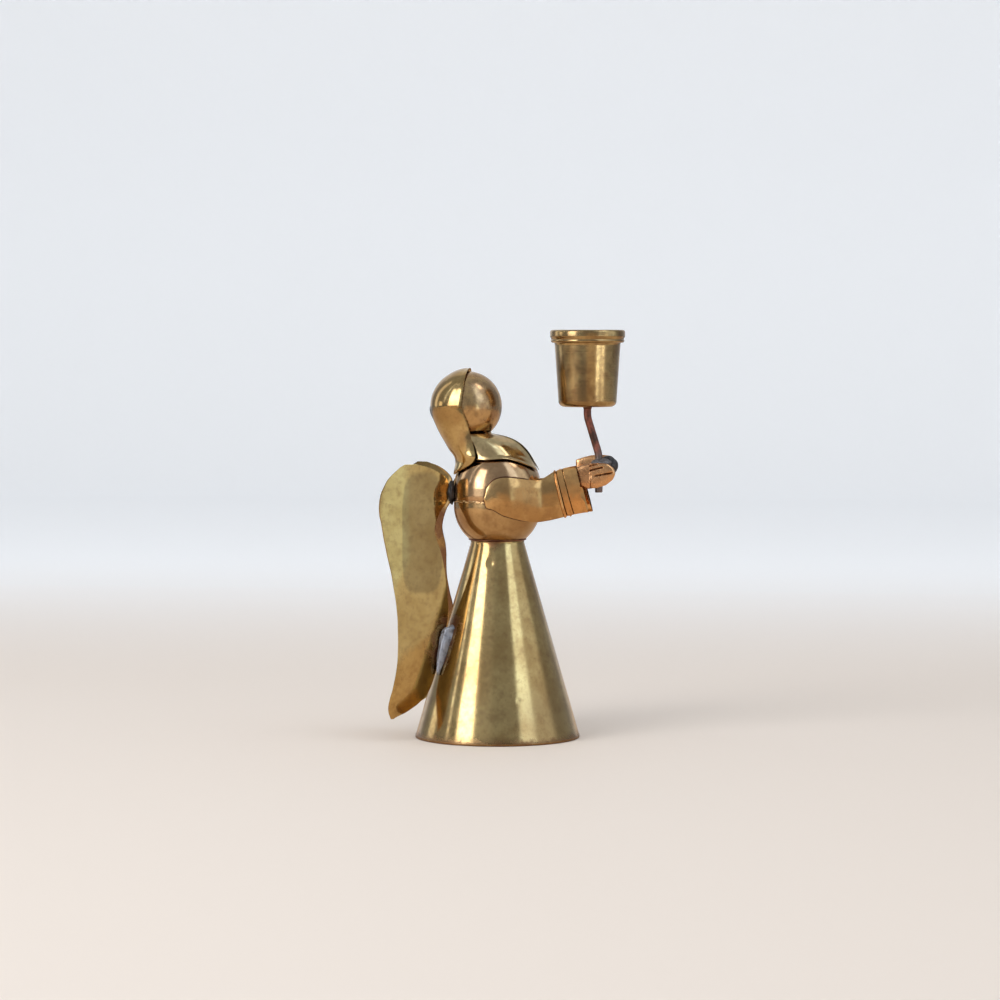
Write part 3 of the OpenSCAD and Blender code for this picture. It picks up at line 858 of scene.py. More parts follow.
@dataclass
class Skirt(Assembly):
    """The rolled cone and the solder bead round the waist."""

    sheet: float = 0.8 * MM
    edge: float = 0.12 * MM
    hem_height: float = 1.2 * MM
    hem_proud: float = 0.25 * MM
    lip_height: float = 1.1 * MM
    ring_steps: int = 90
    ring_points: int = 224
    dents: tuple[Dent, ...] = (
        Dent(-1.1 * MM, 65 * MM, 2.3 * MM, 0.34 * MM),
        Dent(10.7 * MM, 15.9 * MM, 0.7 * MM, 0.2 * MM),
    )
    seam_depth: float = 0.12 * MM
    seam_width: float = 0.9 * MM
    bead_sunk: float = 0.02 * MM

    def __post_init__(self) -> None:
        """Reads the cone's size from the frame."""
        self.height = high("skirt_cone").z
        self.foot = high("skirt_cone").x - self.hem_proud
        self.top = high("waist_disc").x + self.sheet

    def radius(self, height: float) -> float:
        """Outer radius of the cone at a height."""
        share = (height - self.hem_height) / (self.height - self.lip_height - self.hem_height)
        return mix(self.foot, self.top, share)

    def cone(self) -> Piece:
        """Cone with its turned edge, lip, seam and dents.

        Returns:
            The finished piece.
        """
        corner, hem = self.hem_proud, self.hem_height
        outline = [
            (self.foot, 0.0), (self.foot + corner * 0.7, corner * 0.3), (self.foot + corner, corner),
            (self.foot + corner, hem - corner), (self.foot + corner * 0.7, hem - corner * 0.3),
            (self.foot, hem),
        ]
        shoulder = (self.top, self.height - self.lip_height)
        outline += ramp((self.foot, hem), shoulder, self.ring_steps)
        outline += ramp(shoulder, (self.top, self.height), 3)
        piece = Bench.turned("skirt_shell", outline, self.ring_points)
        Bench.face_away(piece, lambda point: Vector((0, 0, point.z)))
        marks = [
            (Vector((dent.x, -math.sqrt(self.radius(dent.z) ** 2 - dent.x**2), dent.z)), dent)
            for dent in self.dents
        ]
        for vertex in piece.data.vertices:
            out = Vector((vertex.co.x, vertex.co.y, 0)).normalized()
            depth = sum(dent.depth * smooth(1 - (vertex.co - at).length / dent.size) for at, dent in marks)
            if vertex.co.x < 0:
                depth += self.seam_depth * bump_at(vertex.co.y, 0, self.seam_width)
            vertex.co -= out * depth
        return Bench.plate(piece, Wear(0.07 * MM, 10 * MM, 2.0), self.sheet, self.edge, shading=30)

    def waist_bead(self) -> Piece:
        """Uneven bead of solder in the corner at the waist.

        Returns:
            The finished piece.
        """
        start, end = low("waist_solder"), high("waist_solder")
        rise = end.z - start.z
        inner = self.top - self.bead_sunk
        outline = [
            (inner, start.z), (self.top + 0.25 * MM, start.z + rise * 0.12),
            (end.x - 0.05 * MM, start.z + rise * 0.4), (end.x, start.z + rise * 0.62),
            (end.x - 0.06 * MM, start.z + rise * 0.85), (self.top + 0.15 * MM, end.z),
            (inner, end.z - 0.1 * MM), (inner, start.z),
        ]
        piece = Bench.turned("waist_bead", outline, self.ring_points)
        Bench.wear(piece, Wear(0.10 * MM, 1.1 * MM, 7.0))
        return Bench.shade(piece, 60)

    def pieces(self) -> list[tuple]:
        """The cone and its bead.

        Returns:
            The pieces, as build reads them.
        """
        return [
            (self.cone(), "skirt", "aged_brass", "skirt_cone"),
            (self.waist_bead(), "joint", "copper_wire", "waist_solder"),
        ]


@dataclass
class Torso(Assembly):
    """The two drawn domes and the line of solder on their seam."""

    sheet: float = 0.8 * MM
    edge: float = 0.14 * MM
    mouth: float = 10.2 * MM
    seam_rise: float = 1.9 * MM
    seam_bead: float = 0.4 * MM
    seam_sunk: float = 0.12 * MM
    seam_wave: float = 0.4 * MM

    def __post_init__(self) -> None:
        """Reads the domes' sizes from the frame."""
        upper = high("torso_upper_shell")
        self.r = upper.y
        self.upper_z = upper.z - self.r
        self.waist_z = low("torso_lower_shell").z
        self.lower_z = self.waist_z + math.sqrt(self.r**2 - self.mouth**2)
        self.seam_z = self.lower_z + self.seam_rise

    def radius(self, height: float) -> float:
        """Outer radius of the torso at a height."""
        rise = max(height - self.upper_z, self.lower_z - height, 0.0)
        return math.sqrt(max(self.r**2 - rise**2, 0.0))

    def dome(self, name: str, outline: Outline, level: float, seed: float) -> Piece:
        """Turns an outline into a dome of sheet whose middle is at a level.

        Args:
            name: name of the piece.
            outline: radius and height of each ring.
            level: height of the dome's middle.
            seed: sets this piece apart from others.

        Returns:
            The finished piece.
        """
        piece = Bench.turned(name, outline)
        Bench.face_away(piece, lambda point: Vector((0, 0, level)))
        return Bench.plate(piece, Wear(0.12 * MM, 8 * MM, seed), self.sheet, self.edge, shading=30)

    def lower(self) -> Piece:
        """Lower dome, open at the waist.

        Returns:
            The finished piece.
        """
        start = -math.degrees(math.acos(self.mouth / self.r))
        outline = arc((0.0, self.lower_z), self.r, start, 0, 40)
        outline += ramp((self.r, self.lower_z), (self.r, self.seam_z), 4)
        return self.dome("torso_lower_dome", outline, self.lower_z, 4.0)

    def upper(self) -> Piece:
        """Upper dome.

        Returns:
            The finished piece.
        """
        outline = [(self.r, self.seam_z), (self.r, mix(self.seam_z, self.upper_z, 0.5))]
        outline += arc((0.0, self.upper_z), self.r, 0, 89.9, 52)
        return self.dome("torso_upper_dome", outline, self.upper_z, 5.0)

    def seam(self) -> Piece:
        """Thin line of solder that comes and goes along the seam.

        Returns:
            The finished piece.
        """
        core_r = self.r - self.seam_sunk
        piece = Bench.turned("torso_seam_solder", arc((core_r, self.seam_z), self.seam_bead, 0, 360, 10), 300)
        for vertex in piece.data.vertices:
            turn = math.atan2(vertex.co.y, vertex.co.x)
            around = Vector((math.cos(turn), math.sin(turn), 0))
            swell = 0.75 + 0.5 * noise.noise(around * 9) + 0.4 * noise.noise(around * 31)
            core = around * core_r + Vector((0, 0, self.seam_z))
            vertex.co = core + (vertex.co - core) * clamp(swell, 0.3, 1.15)
            vertex.co.z += self.seam_wave * noise.noise(around * 14 + Vector((0, 0, 3)))
        return Bench.shade(piece, SOLDER_SHADING)

    def pieces(self) -> list[tuple]:
        """The domes and their seam.

        Returns:
            The pieces, as build reads them.
        """
        return [
            (self.lower(), "torso", "aged_brass", "torso_lower_shell"),
            (self.upper(), "torso_upper", "polished_brass", "torso_upper_shell"),
            (self.seam(), "seam", "lead_solder"),
        ]


@dataclass
class Head(Assembly):
    """The plain ball, the sheet of hair and the solder at its back."""

    torso: Torso
    gap: float = 0.1 * MM
    sheet: float = 0.8 * MM
    edge: float = 0.16 * MM
    seat_gap: float = 0.15 * MM
    half_width: float = 13.0 * MM
    low_share: float = 0.31
    crown_ahead_share: float = 0.09
    crown_lift: float = 0.7 * MM
    edge_lift: float = 0.3 * MM
    edge_from: float = 0.84
    side_back_share: float = -0.02
    dome_share: float = 0.44
    ring_mark: tuple[float, float, float] = (0.06, -0.93, -0.36)
    ring_mark_r: float = 1.1 * MM
    ring_mark_width: float = 0.9 * MM
    ring_mark_depth: float = 0.08 * MM
    solder_tilt: float = 0.28
    drape: ShareTable = ShareTable((
        (0.00, 1.00, 0.02, 1.02), (0.13, 0.96, -0.06, 1.01), (0.27, 0.86, -0.15, 0.99),
        (0.40, 0.74, -0.21, 0.97), (0.52, 0.61, -0.27, 0.97), (0.64, 0.48, -0.33, 0.98),
        (0.74, 0.34, -0.35, 1.00), (0.82, 0.31, -0.26, 0.93), (0.88, 0.32, -0.10, 0.84),
        (0.94, 0.34, 0.09, 0.70), (1.00, 0.36, 0.27, 0.40),
    ))

    def __post_init__(self) -> None:
        """Reads the ball's and the hair's sizes from the frame."""
        start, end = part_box("head_ball")
        self.middle = (start + end) / 2
        self.r = (end.y - start.y) / 2
        self.hair_r = self.r + self.gap + self.sheet / 2
        self.drop = self.middle.z - (self.torso.upper_z + self.torso.r * self.low_share)

    def ball(self) -> Piece:
        """Ball with the small dents of hand work and a ring-shaped mark.

        Returns:
            The finished piece.
        """
        bpy.ops.object.select_all(action="DESELECT")
        bpy.ops.mesh.primitive_uv_sphere_add(
            segments=128, ring_count=72, radius=self.r, location=self.middle
        )
        piece = Bench.named("head_sphere")
        Bench.settle(piece)
        Bench.wear(piece, Wear(0.07 * MM, 5 * MM, 8.0))
        mark = self.middle + Vector(self.ring_mark).normalized() * self.r
        for vertex in piece.data.vertices:
            ring = bump_at((vertex.co - mark).length, self.ring_mark_r, self.ring_mark_width)
            vertex.co -= (vertex.co - self.middle).normalized() * self.ring_mark_depth * ring
        return Bench.shade(piece, 60)

    def crown_point(self, across: float, share: float) -> Vector:
        """Point of the hair over the ball, along from the crown down to the ball's middle.

        Args:
            across: share of the way from the right edge to the left.
            share: share of the way down.

        Returns:
            The point.
        """
        turn = math.radians(mix(0.05, 90, share))
        r = self.hair_r * math.sin(turn)
        ahead = self.hair_r * mix(self.crown_ahead_share, self.side_back_share, share)
        a = (math.pi / 2 + math.asin(clamp(ahead / r, -1, 1))) * mix(-1, 1, across)
        point = Vector((-r * math.cos(a), r * math.sin(a), self.hair_r * math.cos(turn)))
        lift = self.crown_lift * math.cos(turn) * smooth(point.x / self.hair_r * 1.4 + 0.9)
        free = smooth((abs(mix(-1, 1, across)) - self.edge_from) / (1 - self.edge_from)) * smooth(share * 3)
        return self.middle + point * (1 + (lift + self.edge_lift * free) / self.hair_r)

    def hair_point(self, across: float, along: float) -> Vector:
        """Point of the hair, across from the right edge to the left and along from the crown down.

        Args:
            across: share of the way from the right edge to the left.
            along: share of the way from the crown down.

        Returns:
            The point.
        """
        if along <= self.dome_share:
            return self.crown_point(across, along / self.dome_share)
        share = (along - self.dome_share) / (1 - self.dome_share)
        back = self.drape.at(share, 1) * self.hair_r
        front = self.drape.at(share, 2) * self.hair_r
        side = self.drape.at(share, 3) * self.half_width
        a = math.pi / 2 * mix(-1, 1, across)
        x = self.middle.x - front - (back - front) * math.cos(a)
        point = Vector((x, side * math.sin(a), self.middle.z - self.drop * share))
        flat = math.hypot(point.x, point.y)
        least = self.torso.radius(point.z) + self.seat_gap + self.sheet / 2
        if flat < least:
            point.x *= least / flat
            point.y *= least / flat
        return point

    def hair(self) -> Piece:
        """Hair: a sheet over the back of the ball that hangs to the shoulders."""
        piece = Bench.sheet("hair_sheet", 112, 128, self.hair_point)
        return Bench.plate(piece, Wear(0.10 * MM, 6 * MM, 9.0), self.sheet, self.edge, offset=0.0)

    def solder(self) -> Piece:
        """Lump of lead on the back of the hair.

        Returns:
            The finished piece.
        """
        start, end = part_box("hair_solder")
        middle = (start + end) / 2
        middle.x = mix(start.x, end.x, 0.92)
        radii = Vector(((end.x - start.x) * 0.42, (end.y - start.y) / 2, (end.z - start.z) / 2))

        def tilted(point: Vector) -> Vector:
            """Point of the lump, tilted with the back of the hair."""
            return point + Vector(((middle.z - point.z) * self.solder_tilt, 0, 0))

        return Bench.lump("hair_lead", middle, radii, 0.12, 11.0, tilted)

    def pieces(self) -> list[tuple]:
        """The ball, the hair and its solder.

        Returns:
            The pieces, as build reads them.
        """
        return [
            (self.ball(), "ball", "aged_brass", "head_ball"),
            (self.hair(), "hair", "polished_brass", "hair"),
            (self.solder(), "lead_dark", "lead_solder", "hair_solder"),
        ]


@dataclass
class Collar(Assembly):
    """The collar with its two front points."""

    torso: Torso
    head: Head
    sheet: float = 0.7 * MM
    edge: float = 0.14 * MM
    rise: float = 3.7 * MM
    reach: float = 15.2 * MM
    gap: float = 0.15 * MM
    open_half: float = 1.3 * MM
    edge_lift: float = 0.55 * MM
    edge_from: float = 0.82
    crown: float = 0.03
    front_crown: float = 0.19
    stations: Sequence[Sequence[float]] = (
        (0.05, 1.10, 0.06, 0.39), (0.16, 1.10, 0.14, 0.46), (0.30, 1.09, 0.24, 0.56),
        (0.42, 1.04, 0.36, 0.65), (0.54, 1.02, 0.50, 0.645), (0.68, 1.02, 0.64, 0.64),
        (0.84, 1.02, 0.82, 0.67), (1.00, 1.02, 1.00, 0.70),
    )

    def __post_init__(self) -> None:
        """Works out the neck's radius and the table of the stations, evenly spaced round the neck."""
        torso = self.torso
        neck_drop = self.head.middle.z - (torso.upper_z + torso.r) - self.rise
        self.neck_r = math.sqrt(self.head.r**2 - neck_drop**2) + self.sheet
        last = len(self.stations) - 1
        self.table = ShareTable([(index / last, *row) for index, row in enumerate(self.stations)])

    def point(self, across: float, along: float) -> Vector:
        """Point of the collar, across from the neck to the lower edge and along round the neck.

        Args:
            across: share of the way from the neck to the lower edge.
            along: share of the way round the neck.

        Returns:
            The point.
        """
        torso = self.torso
        side = 1 if along >= 0.5 else -1
        s = 1 - abs(mix(-1, 1, along))
        neck_turn, neck_share, low_turn, low_share = (self.table.at(s, column) for column in range(1, 5))
        neck_a, low_a = math.pi * neck_turn, math.pi * low_turn
        opening = self.open_half if s < 0.5 else 0.0
        neck = Vector((
            self.neck_r * neck_share * math.cos(neck_a) + self.head.middle.x,
            max(self.neck_r * neck_share * math.sin(neck_a), opening),
            torso.upper_z + torso.r + self.rise,
        ))
        z_low = torso.upper_z + torso.r * low_share
        low_r = torso.radius(z_low) + self.gap + self.sheet / 2
        tip_r = mix(low_r, self.reach, max(1 - s * 8, 0))
        lower = Vector((tip_r * math.cos(low_a), max(low_r * math.sin(low_a), opening), z_low))
        out = Vector((lower.x * 0.7, lower.y * 0.7, torso.r)).normalized()
        lift = torso.r * self.front_crown * max(1 - s * 2, 0) ** 2 + torso.r * self.crown
        standing = self.edge_lift * (0.8 + 0.5 * noise.noise(Vector((along * 14, 0, 3))))
        standing *= smooth((across - self.edge_from) / (1 - self.edge_from)) * smooth(s * 6)
        point = neck.lerp(lower, across) + out * (lift * math.sin(math.pi * across) + standing)
        middle = Vector((0, 0, torso.upper_z))
        away = point - middle
        least = torso.r + self.gap + self.sheet / 2
        if away.length < least:
            point = middle + away.normalized() * least
        point.y *= side
        return point

    def pieces(self) -> list[tuple]:
        """The collar.

        Returns:
            The pieces, as build reads them.
        """
        piece = Bench.sheet("collar_sheet", 36, 220, self.point)
        Bench.plate(piece, Wear(0.08 * MM, 5 * MM, 12.0), self.sheet, self.edge, offset=0.0)
        return [(piece, "collar", "polished_brass", "collar")]


@dataclass
class Arm(Assembly):
    """One arm: the sleeve, the cuff and the fist."""

    side: Side
    torso: Torso
    width: float = 6.0 * MM
    height: float = 17.4 * MM
    sheet: float = 0.8 * MM
    edge: float = 0.14 * MM
    reach: float = 31.6 * MM
    far_reach: float = 32.6 * MM
    blend: float = 9.0 * MM
    ease: float = 11.0 * MM
    cuff_length: float = 8.4 * MM
    cuff_lap: float = 0.02
    gap: float = 0.15 * MM
    inner_y: float = 0.25 * MM
    slant_share: float = 0.27
    root_share: float = 0.19
    level_share: float = 0.1
    shoulder_share: float = 0.62
    shoulder_wide: float = 1.1
    border: float = 0.01
    least_half: float = 0.05 * MM
    ridge: float = 0.55 * MM
    groove: float = 0.45 * MM
    far_hand_rise: float = 2.8 * MM
    notch_share: float = 0.2
    bulge: float = 0.55 * MM
    bulge_middle: float = 0.30
    bulge_width: float = 0.7
    bead_r: float = 0.3 * MM
    bead_end: float = 0.46
    bead_middle: float = 5 * MM
    bead_out: float = 0.1 * MM
    bead_up: float = 0.22 * MM
    crowding: float = 1.15
    file_marks: int = 5
    file_start: tuple[float, float, float] = (11.9 * MM, 0, 88.8 * MM)
    file_lean: tuple[float, float, float] = (-0.30, 0, 1)
    file_apart: float = 1.0 * MM
    file_length: float = 3.6 * MM
    file_half: float = 0.3 * MM
    file_depth: float = 0.2 * MM
    shares: ShareTable = ShareTable((
        (0.00, -0.22, 0.02, 0.00), (0.03, -0.18, 0.40, 0.00), (0.10, -0.05, 0.62, 0.00),
        (0.20, -0.10, 0.80, 0.00), (0.35, -0.22, 0.88, 0.00), (0.50, -0.33, 0.91, 0.10),
        (0.62, -0.27, 0.92, 0.45), (0.76, -0.06, 0.97, 0.90), (0.88, 0.08, 0.99, 1.00),
        (1.00, 0.16, 1.00, 1.00),
    ))
    fist_shares: Outline = (
        (-0.50, -0.36), (0.00, -0.44), (0.12, -0.50), (0.42, -0.47), (0.66, -0.36), (0.85, -0.16),
        (0.93, 0.08), (0.88, 0.30), (0.72, 0.46), (0.45, 0.50), (0.20, 0.47), (0.00, 0.40),
        (-0.50, 0.30),
    )
    fist_front: float = 0.93
    wrist_back: float = 0.5
    fist_middle: float = 0.30
    fist_turns: int = 720
    fist_spread: int = 7
    finger_grooves: Sequence[tuple[tuple[float, float], tuple[float, float], float]] = (
        ((0.22, 0.37), (0.42, 0.45), 0.5 * MM),
        ((0.23, 0.20), (0.58, 0.33), 0.65 * MM),
        ((0.33, -0.01), (0.84, 0.12), 0.65 * MM),
    )
    finger_groove_half: float = 0.42 * MM
    wrist_depth: float = 0.45 * MM
    wrist_share: float = 0.24
    wrist_step: float = 0.5 * MM

    def __post_init__(self) -> None:
        """Reads the places that depend on the torso, and the fist's sizes."""
        self.sign, self.word = self.side.value, self.side.word
        start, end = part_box(f"{self.word}_hand")
        self.fist_y = (start.y + end.y) / 2
        self.fist_level = (start.z + end.z) / 2
        self.fist_tall, self.fist_thick = end.z - start.z, end.y - start.y
        self.fist_from = self.reach
        self.fist_length = (end.x - self.fist_from) / self.fist_front
        self.wrist_length = (self.fist_from - start.x) / self.wrist_back
        if self.side is Side.LEFT:
            self.reach = self.far_reach
        self.root = -self.torso.r * self.root_share
        self.level = self.torso.upper_z - self.torso.r * self.level_share
        self.cuff_share = (self.reach - self.cuff_length - self.root) / (self.reach - self.root)

    def skin(self, s: float, around: float) -> Vector:
        """Point of the arm's skin.

        Args:
            s: share of the way from the root to the cuff's end.
            around: share of the way round, from the lower edge up the outside and down the inside.

        Returns:
            The point.
        """
        outer = around <= 0.5
        turn = around * 2 if outer else 2 - around * 2
        v = mix(self.border, 1 - self.border, (1 - math.cos(math.pi * turn)) / 2)
        half = max(self.shares.at(s, 2) * self.height / 2, self.least_half)
        up = mix(-half, half, v)
        z = self.level + self.shares.at(s, 1) * self.height / 2 + up
        x = mix(self.root, self.reach, s) - self.shares.at(s, 3) * self.slant_share * up
        within = self.torso.radius(z) ** 2 - x * x
        torso_y = math.sqrt(within) if within > self.ease**2 else (self.ease + within / self.ease) / 2
        seat = torso_y + (self.sheet if outer else 0.0) + self.gap
        middle = mix(self.torso.r * self.shoulder_share, self.inner_y + self.width / 2, s**0.9)
        swell = math.sqrt(max(1 - abs(2 * v - 1) ** 3, 0.0))
        deep = self.width / 2 * mix(self.shoulder_wide, 1, s) * swell
        y = soft_max(middle + (deep if outer else -deep), seat, self.blend)
        if outer:
            y += self.bulge * bump_at(s, self.bulge_middle, self.bulge_width) * math.sin(math.pi * v) ** 2
        return Vector((x, y * self.sign, z))

    def filed(self, point: Vector) -> float:
        """Depth of the slanted file marks at a point of the sleeve.

        Args:
            point: the point.

        Returns:
            The depth.
        """
        lean = Vector(self.file_lean).normalized()
        depth = 0.0
        for index in range(self.file_marks):
            foot = Vector(self.file_start) + Vector((index * self.file_apart, 0, 0))
            flat = Vector((point.x, 0, point.z)) - foot
            along = flat.dot(lean)
            off = (flat - lean * along).length
            if 0 < along < self.file_length:
                fade = math.sin(math.pi * along / self.file_length)
                depth += self.file_depth * (1 - smooth(off / self.file_half)) * fade
        return depth

    def sleeve(self) -> Piece:
        """Sleeve from the shoulder to inside the cuff.

        Returns:
            The finished piece.
        """
        end = self.cuff_share + self.cuff_lap

        def place(across: float, along: float) -> Vector:
            """Point of the sleeve's skin.

            Args:
                across: share of the way round the sleeve.
                along: share of the way towards the hand.

            Returns:
                The point.
            """
            point = self.skin(end * along**self.crowding, across)
            if across <= 0.5:
                point.y -= self.sign * self.filed(point)
            return point

        piece = Bench.sheet(f"{self.word}_sleeve_sheet", 96, 150, place)
        Bench.close_ends(piece)
        Bench.merge(piece)
        Bench.wear(piece, Wear(0.10 * MM, 6 * MM, 13.0 + self.sign))
        return Bench.shade(piece, 40)

    def border_bead(self) -> Piece:
        """Dark line of solder in the corner between the sleeve's edge and the torso.

        Returns:
            The finished piece.
        """

        def place(across: float, along: float) -> Vector:
            """Point of the bead's skin.

            Args:
                across: share of the way round the bead.
                along: share of the way along the border.

            Returns:
                The point.
            """
            s = self.bead_end * abs(mix(-1, 1, along)) ** self.crowding
            edge = self.skin(s, 0.0 if along < 0.5 else 0.5)
            out = Vector((edge.x - self.bead_middle, 0, edge.z - self.level)).normalized()
            x, z = edge.x + out.x * self.bead_out, edge.z + out.z * self.bead_out
            around = math.sqrt(max(self.torso.radius(z) ** 2 - x * x, 0.0))
            core = Vector((x, around * self.sign, z))
            away = Vector((core.x, core.y, max(core.z - self.torso.upper_z, 0.0))).normalized()
            tip = clamp((0.5 - abs(along - 0.5)) * 14, 0.02)
            r = self.bead_r * (0.8 + 0.5 * noise.noise(core / (1.6 * MM))) * math.sqrt(tip)
            turn = 2 * math.pi * across
            flank = away.cross(Vector((out.z, 0, -out.x))).normalized()
            return core + away * (self.bead_up + r * math.cos(turn)) + flank * r * math.sin(turn)

        piece = Bench.sheet(f"{self.word}_sleeve_bead", 12, 150, place)
        Bench.close_ends(piece)
        Bench.merge(piece)
        return Bench.shade(piece, SOLDER_SHADING)

    def cuff(self) -> Piece:
        """Cuff with its folded ridge, two engraved lines and worn notch.

        Returns:
            The finished piece.
        """

        def place(across: float, along: float) -> Vector:
            """Point of the cuff's skin.

            Args:
                across: share of the way round the cuff.
                along: share of the way towards the hand.

            Returns:
                The point.
            """
            worked = self.ridge * bump_at(along, 0.045, 0.12)
            worked -= self.groove * (bump_at(along, 0.13, 0.045) + bump_at(along, 0.41, 0.045))
            if across <= 0.5 and self.side is Side.RIGHT:
                ragged = 0.7 + 0.6 * noise.noise(Vector((across * 60, 0.5, 2)))
                torn = bump_at(across, 0.22, 0.14) * ragged
                along *= 1 - self.notch_share * torn * smooth(along * 3 - 2)
            s = mix(self.cuff_share, 1.0, along)
            point = self.skin(s, across)
            centre = self.skin(s, 0.0).lerp(self.skin(s, 0.5), 0.5)
            out = Vector((0, point.y - centre.y, (point.z - centre.z) * 0.35))
            return point + out.normalized() * worked

        piece = Bench.sheet(f"{self.word}_cuff_band", 112, 110, place)
        core_y = self.sign * (self.inner_y + self.width / 2)
        Bench.face_away(piece, lambda point: Vector((point.x, core_y, self.level)))
        return Bench.plate(piece, Wear(0.06 * MM, 4 * MM, 15.0 + self.sign), self.sheet, self.edge)

    def fist_place(self, along: float, up: float) -> Vector:
        """Point in the plane of X and Z at a share of the fist's length and of its height."""
        length = self.wrist_length if along < 0 else self.fist_length
        return Vector((self.fist_from + along * length, self.fist_level + up * self.fist_tall))

    @staticmethod
    def reach_to(turn: float, middle: Vector, corners: list[Vector]) -> float:
        """Distance from a middle to an outline of corners in a direction.

        Args:
            turn: the direction, in radians from X towards Z.
            middle: the middle, in the plane of X and Z.
            corners: the outline's corners in that plane.

        Returns:
            The distance.
        """
        ray = Vector((math.cos(turn), math.sin(turn)))
        for start, end in zip(corners, corners[1:] + corners[:1]):
            edge = end - start
            cross = ray.x * edge.y - ray.y * edge.x
            if abs(cross) < 1e-12:
                continue
            to_start = start - middle
            far = (to_start.x * edge.y - to_start.y * edge.x) / cross
            share = (to_start.x * ray.y - to_start.y * ray.x) / cross
            if far > 0 and -1e-6 <= share <= 1 + 1e-6:
                return far
        return 0.0

    def fist_outline(self, middle: Vector) -> list[float]:
        """Distance from the fist's middle to its rounded outline, evenly spaced all round.

        Args:
            middle: the middle, in the plane of X and Z.

        Returns:
            The distances.
        """
        corners = [self.fist_place(along, up) for along, up in self.fist_shares]
        count = self.fist_turns
        reach = [self.reach_to(2 * math.pi * k / count, middle, corners) for k in range(count)]
        steps = range(-self.fist_spread, self.fist_spread + 1)
        return [sum(reach[(k + j) % count] for j in steps) / len(steps) for k in range(count)]

    def carved(self, spot: Vector) -> float:
        """Depth of the grooves between the fingers and of the band at the wrist.

        Args:
            spot: a point in the plane of X and Z.

        Returns:
            The depth.
        """
        depth = 0.0
        for first, second, deep in self.finger_grooves:
            start = self.fist_place(*first)
            line = self.fist_place(*second) - start
            share = clamp((spot - start).dot(line) / line.length_squared)
            off = (spot - start - line * share).length
            depth += deep * (1 - smooth(off / self.finger_groove_half))
        band = (spot.x - self.fist_from - self.wrist_share * self.fist_length) / self.wrist_step
        return depth + self.wrist_depth * (1 - smooth(band + 0.5))

    def fist(self) -> Piece:
        """Fist and wrist with the grooves between its fingers.

        Returns:
            The finished piece.
        """
        middle = self.fist_place(self.fist_middle, 0.0)
        outline = self.fist_outline(middle)
        rise = self.far_hand_rise if self.side is Side.LEFT else 0.0
        bpy.ops.object.select_all(action="DESELECT")
        bpy.ops.mesh.primitive_uv_sphere_add(
            segments=160, ring_count=90, radius=1, rotation=(math.pi / 2, 0, 0)
        )
        piece = Bench.named(f"{self.word}_fist")
        Bench.settle(piece)
        for vertex in piece.data.vertices:
            flat = math.hypot(vertex.co.x, vertex.co.z)
            turn = math.atan2(vertex.co.z, vertex.co.x)
            index = int(round(turn / (2 * math.pi) * self.fist_turns)) % self.fist_turns
            r = outline[index] * flat**0.55
            spot = middle + Vector((r * math.cos(turn), r * math.sin(turn)))
            deep = abs(vertex.co.y) ** 0.5
            y = self.fist_y + math.copysign(deep, vertex.co.y) * self.fist_thick / 2
            if vertex.co.y * self.sign > 0:
                y -= self.sign * self.carved(spot)
            vertex.co = Vector((spot.x, y, spot.y + rise))
        piece.data.update()
        Bench.wear(piece, Wear(0.06 * MM, 2.5 * MM, 17.0 + self.sign))
        return Bench.shade(piece, 50)

    def pieces(self) -> list[tuple]:
        """The sleeve, the cuff, the fist and the bead on the sleeve's border.

        Returns:
            The pieces, as build reads them.
        """
        return [
            (self.sleeve(), "sleeve", "aged_brass", f"{self.word}_sleeve"),
            (self.cuff(), "cuff", "aged_brass", f"{self.word}_cuff"),
            (self.fist(), "fist", "aged_brass", f"{self.word}_hand"),
            (self.border_bead(), "joint", "copper_wire"),
        ]


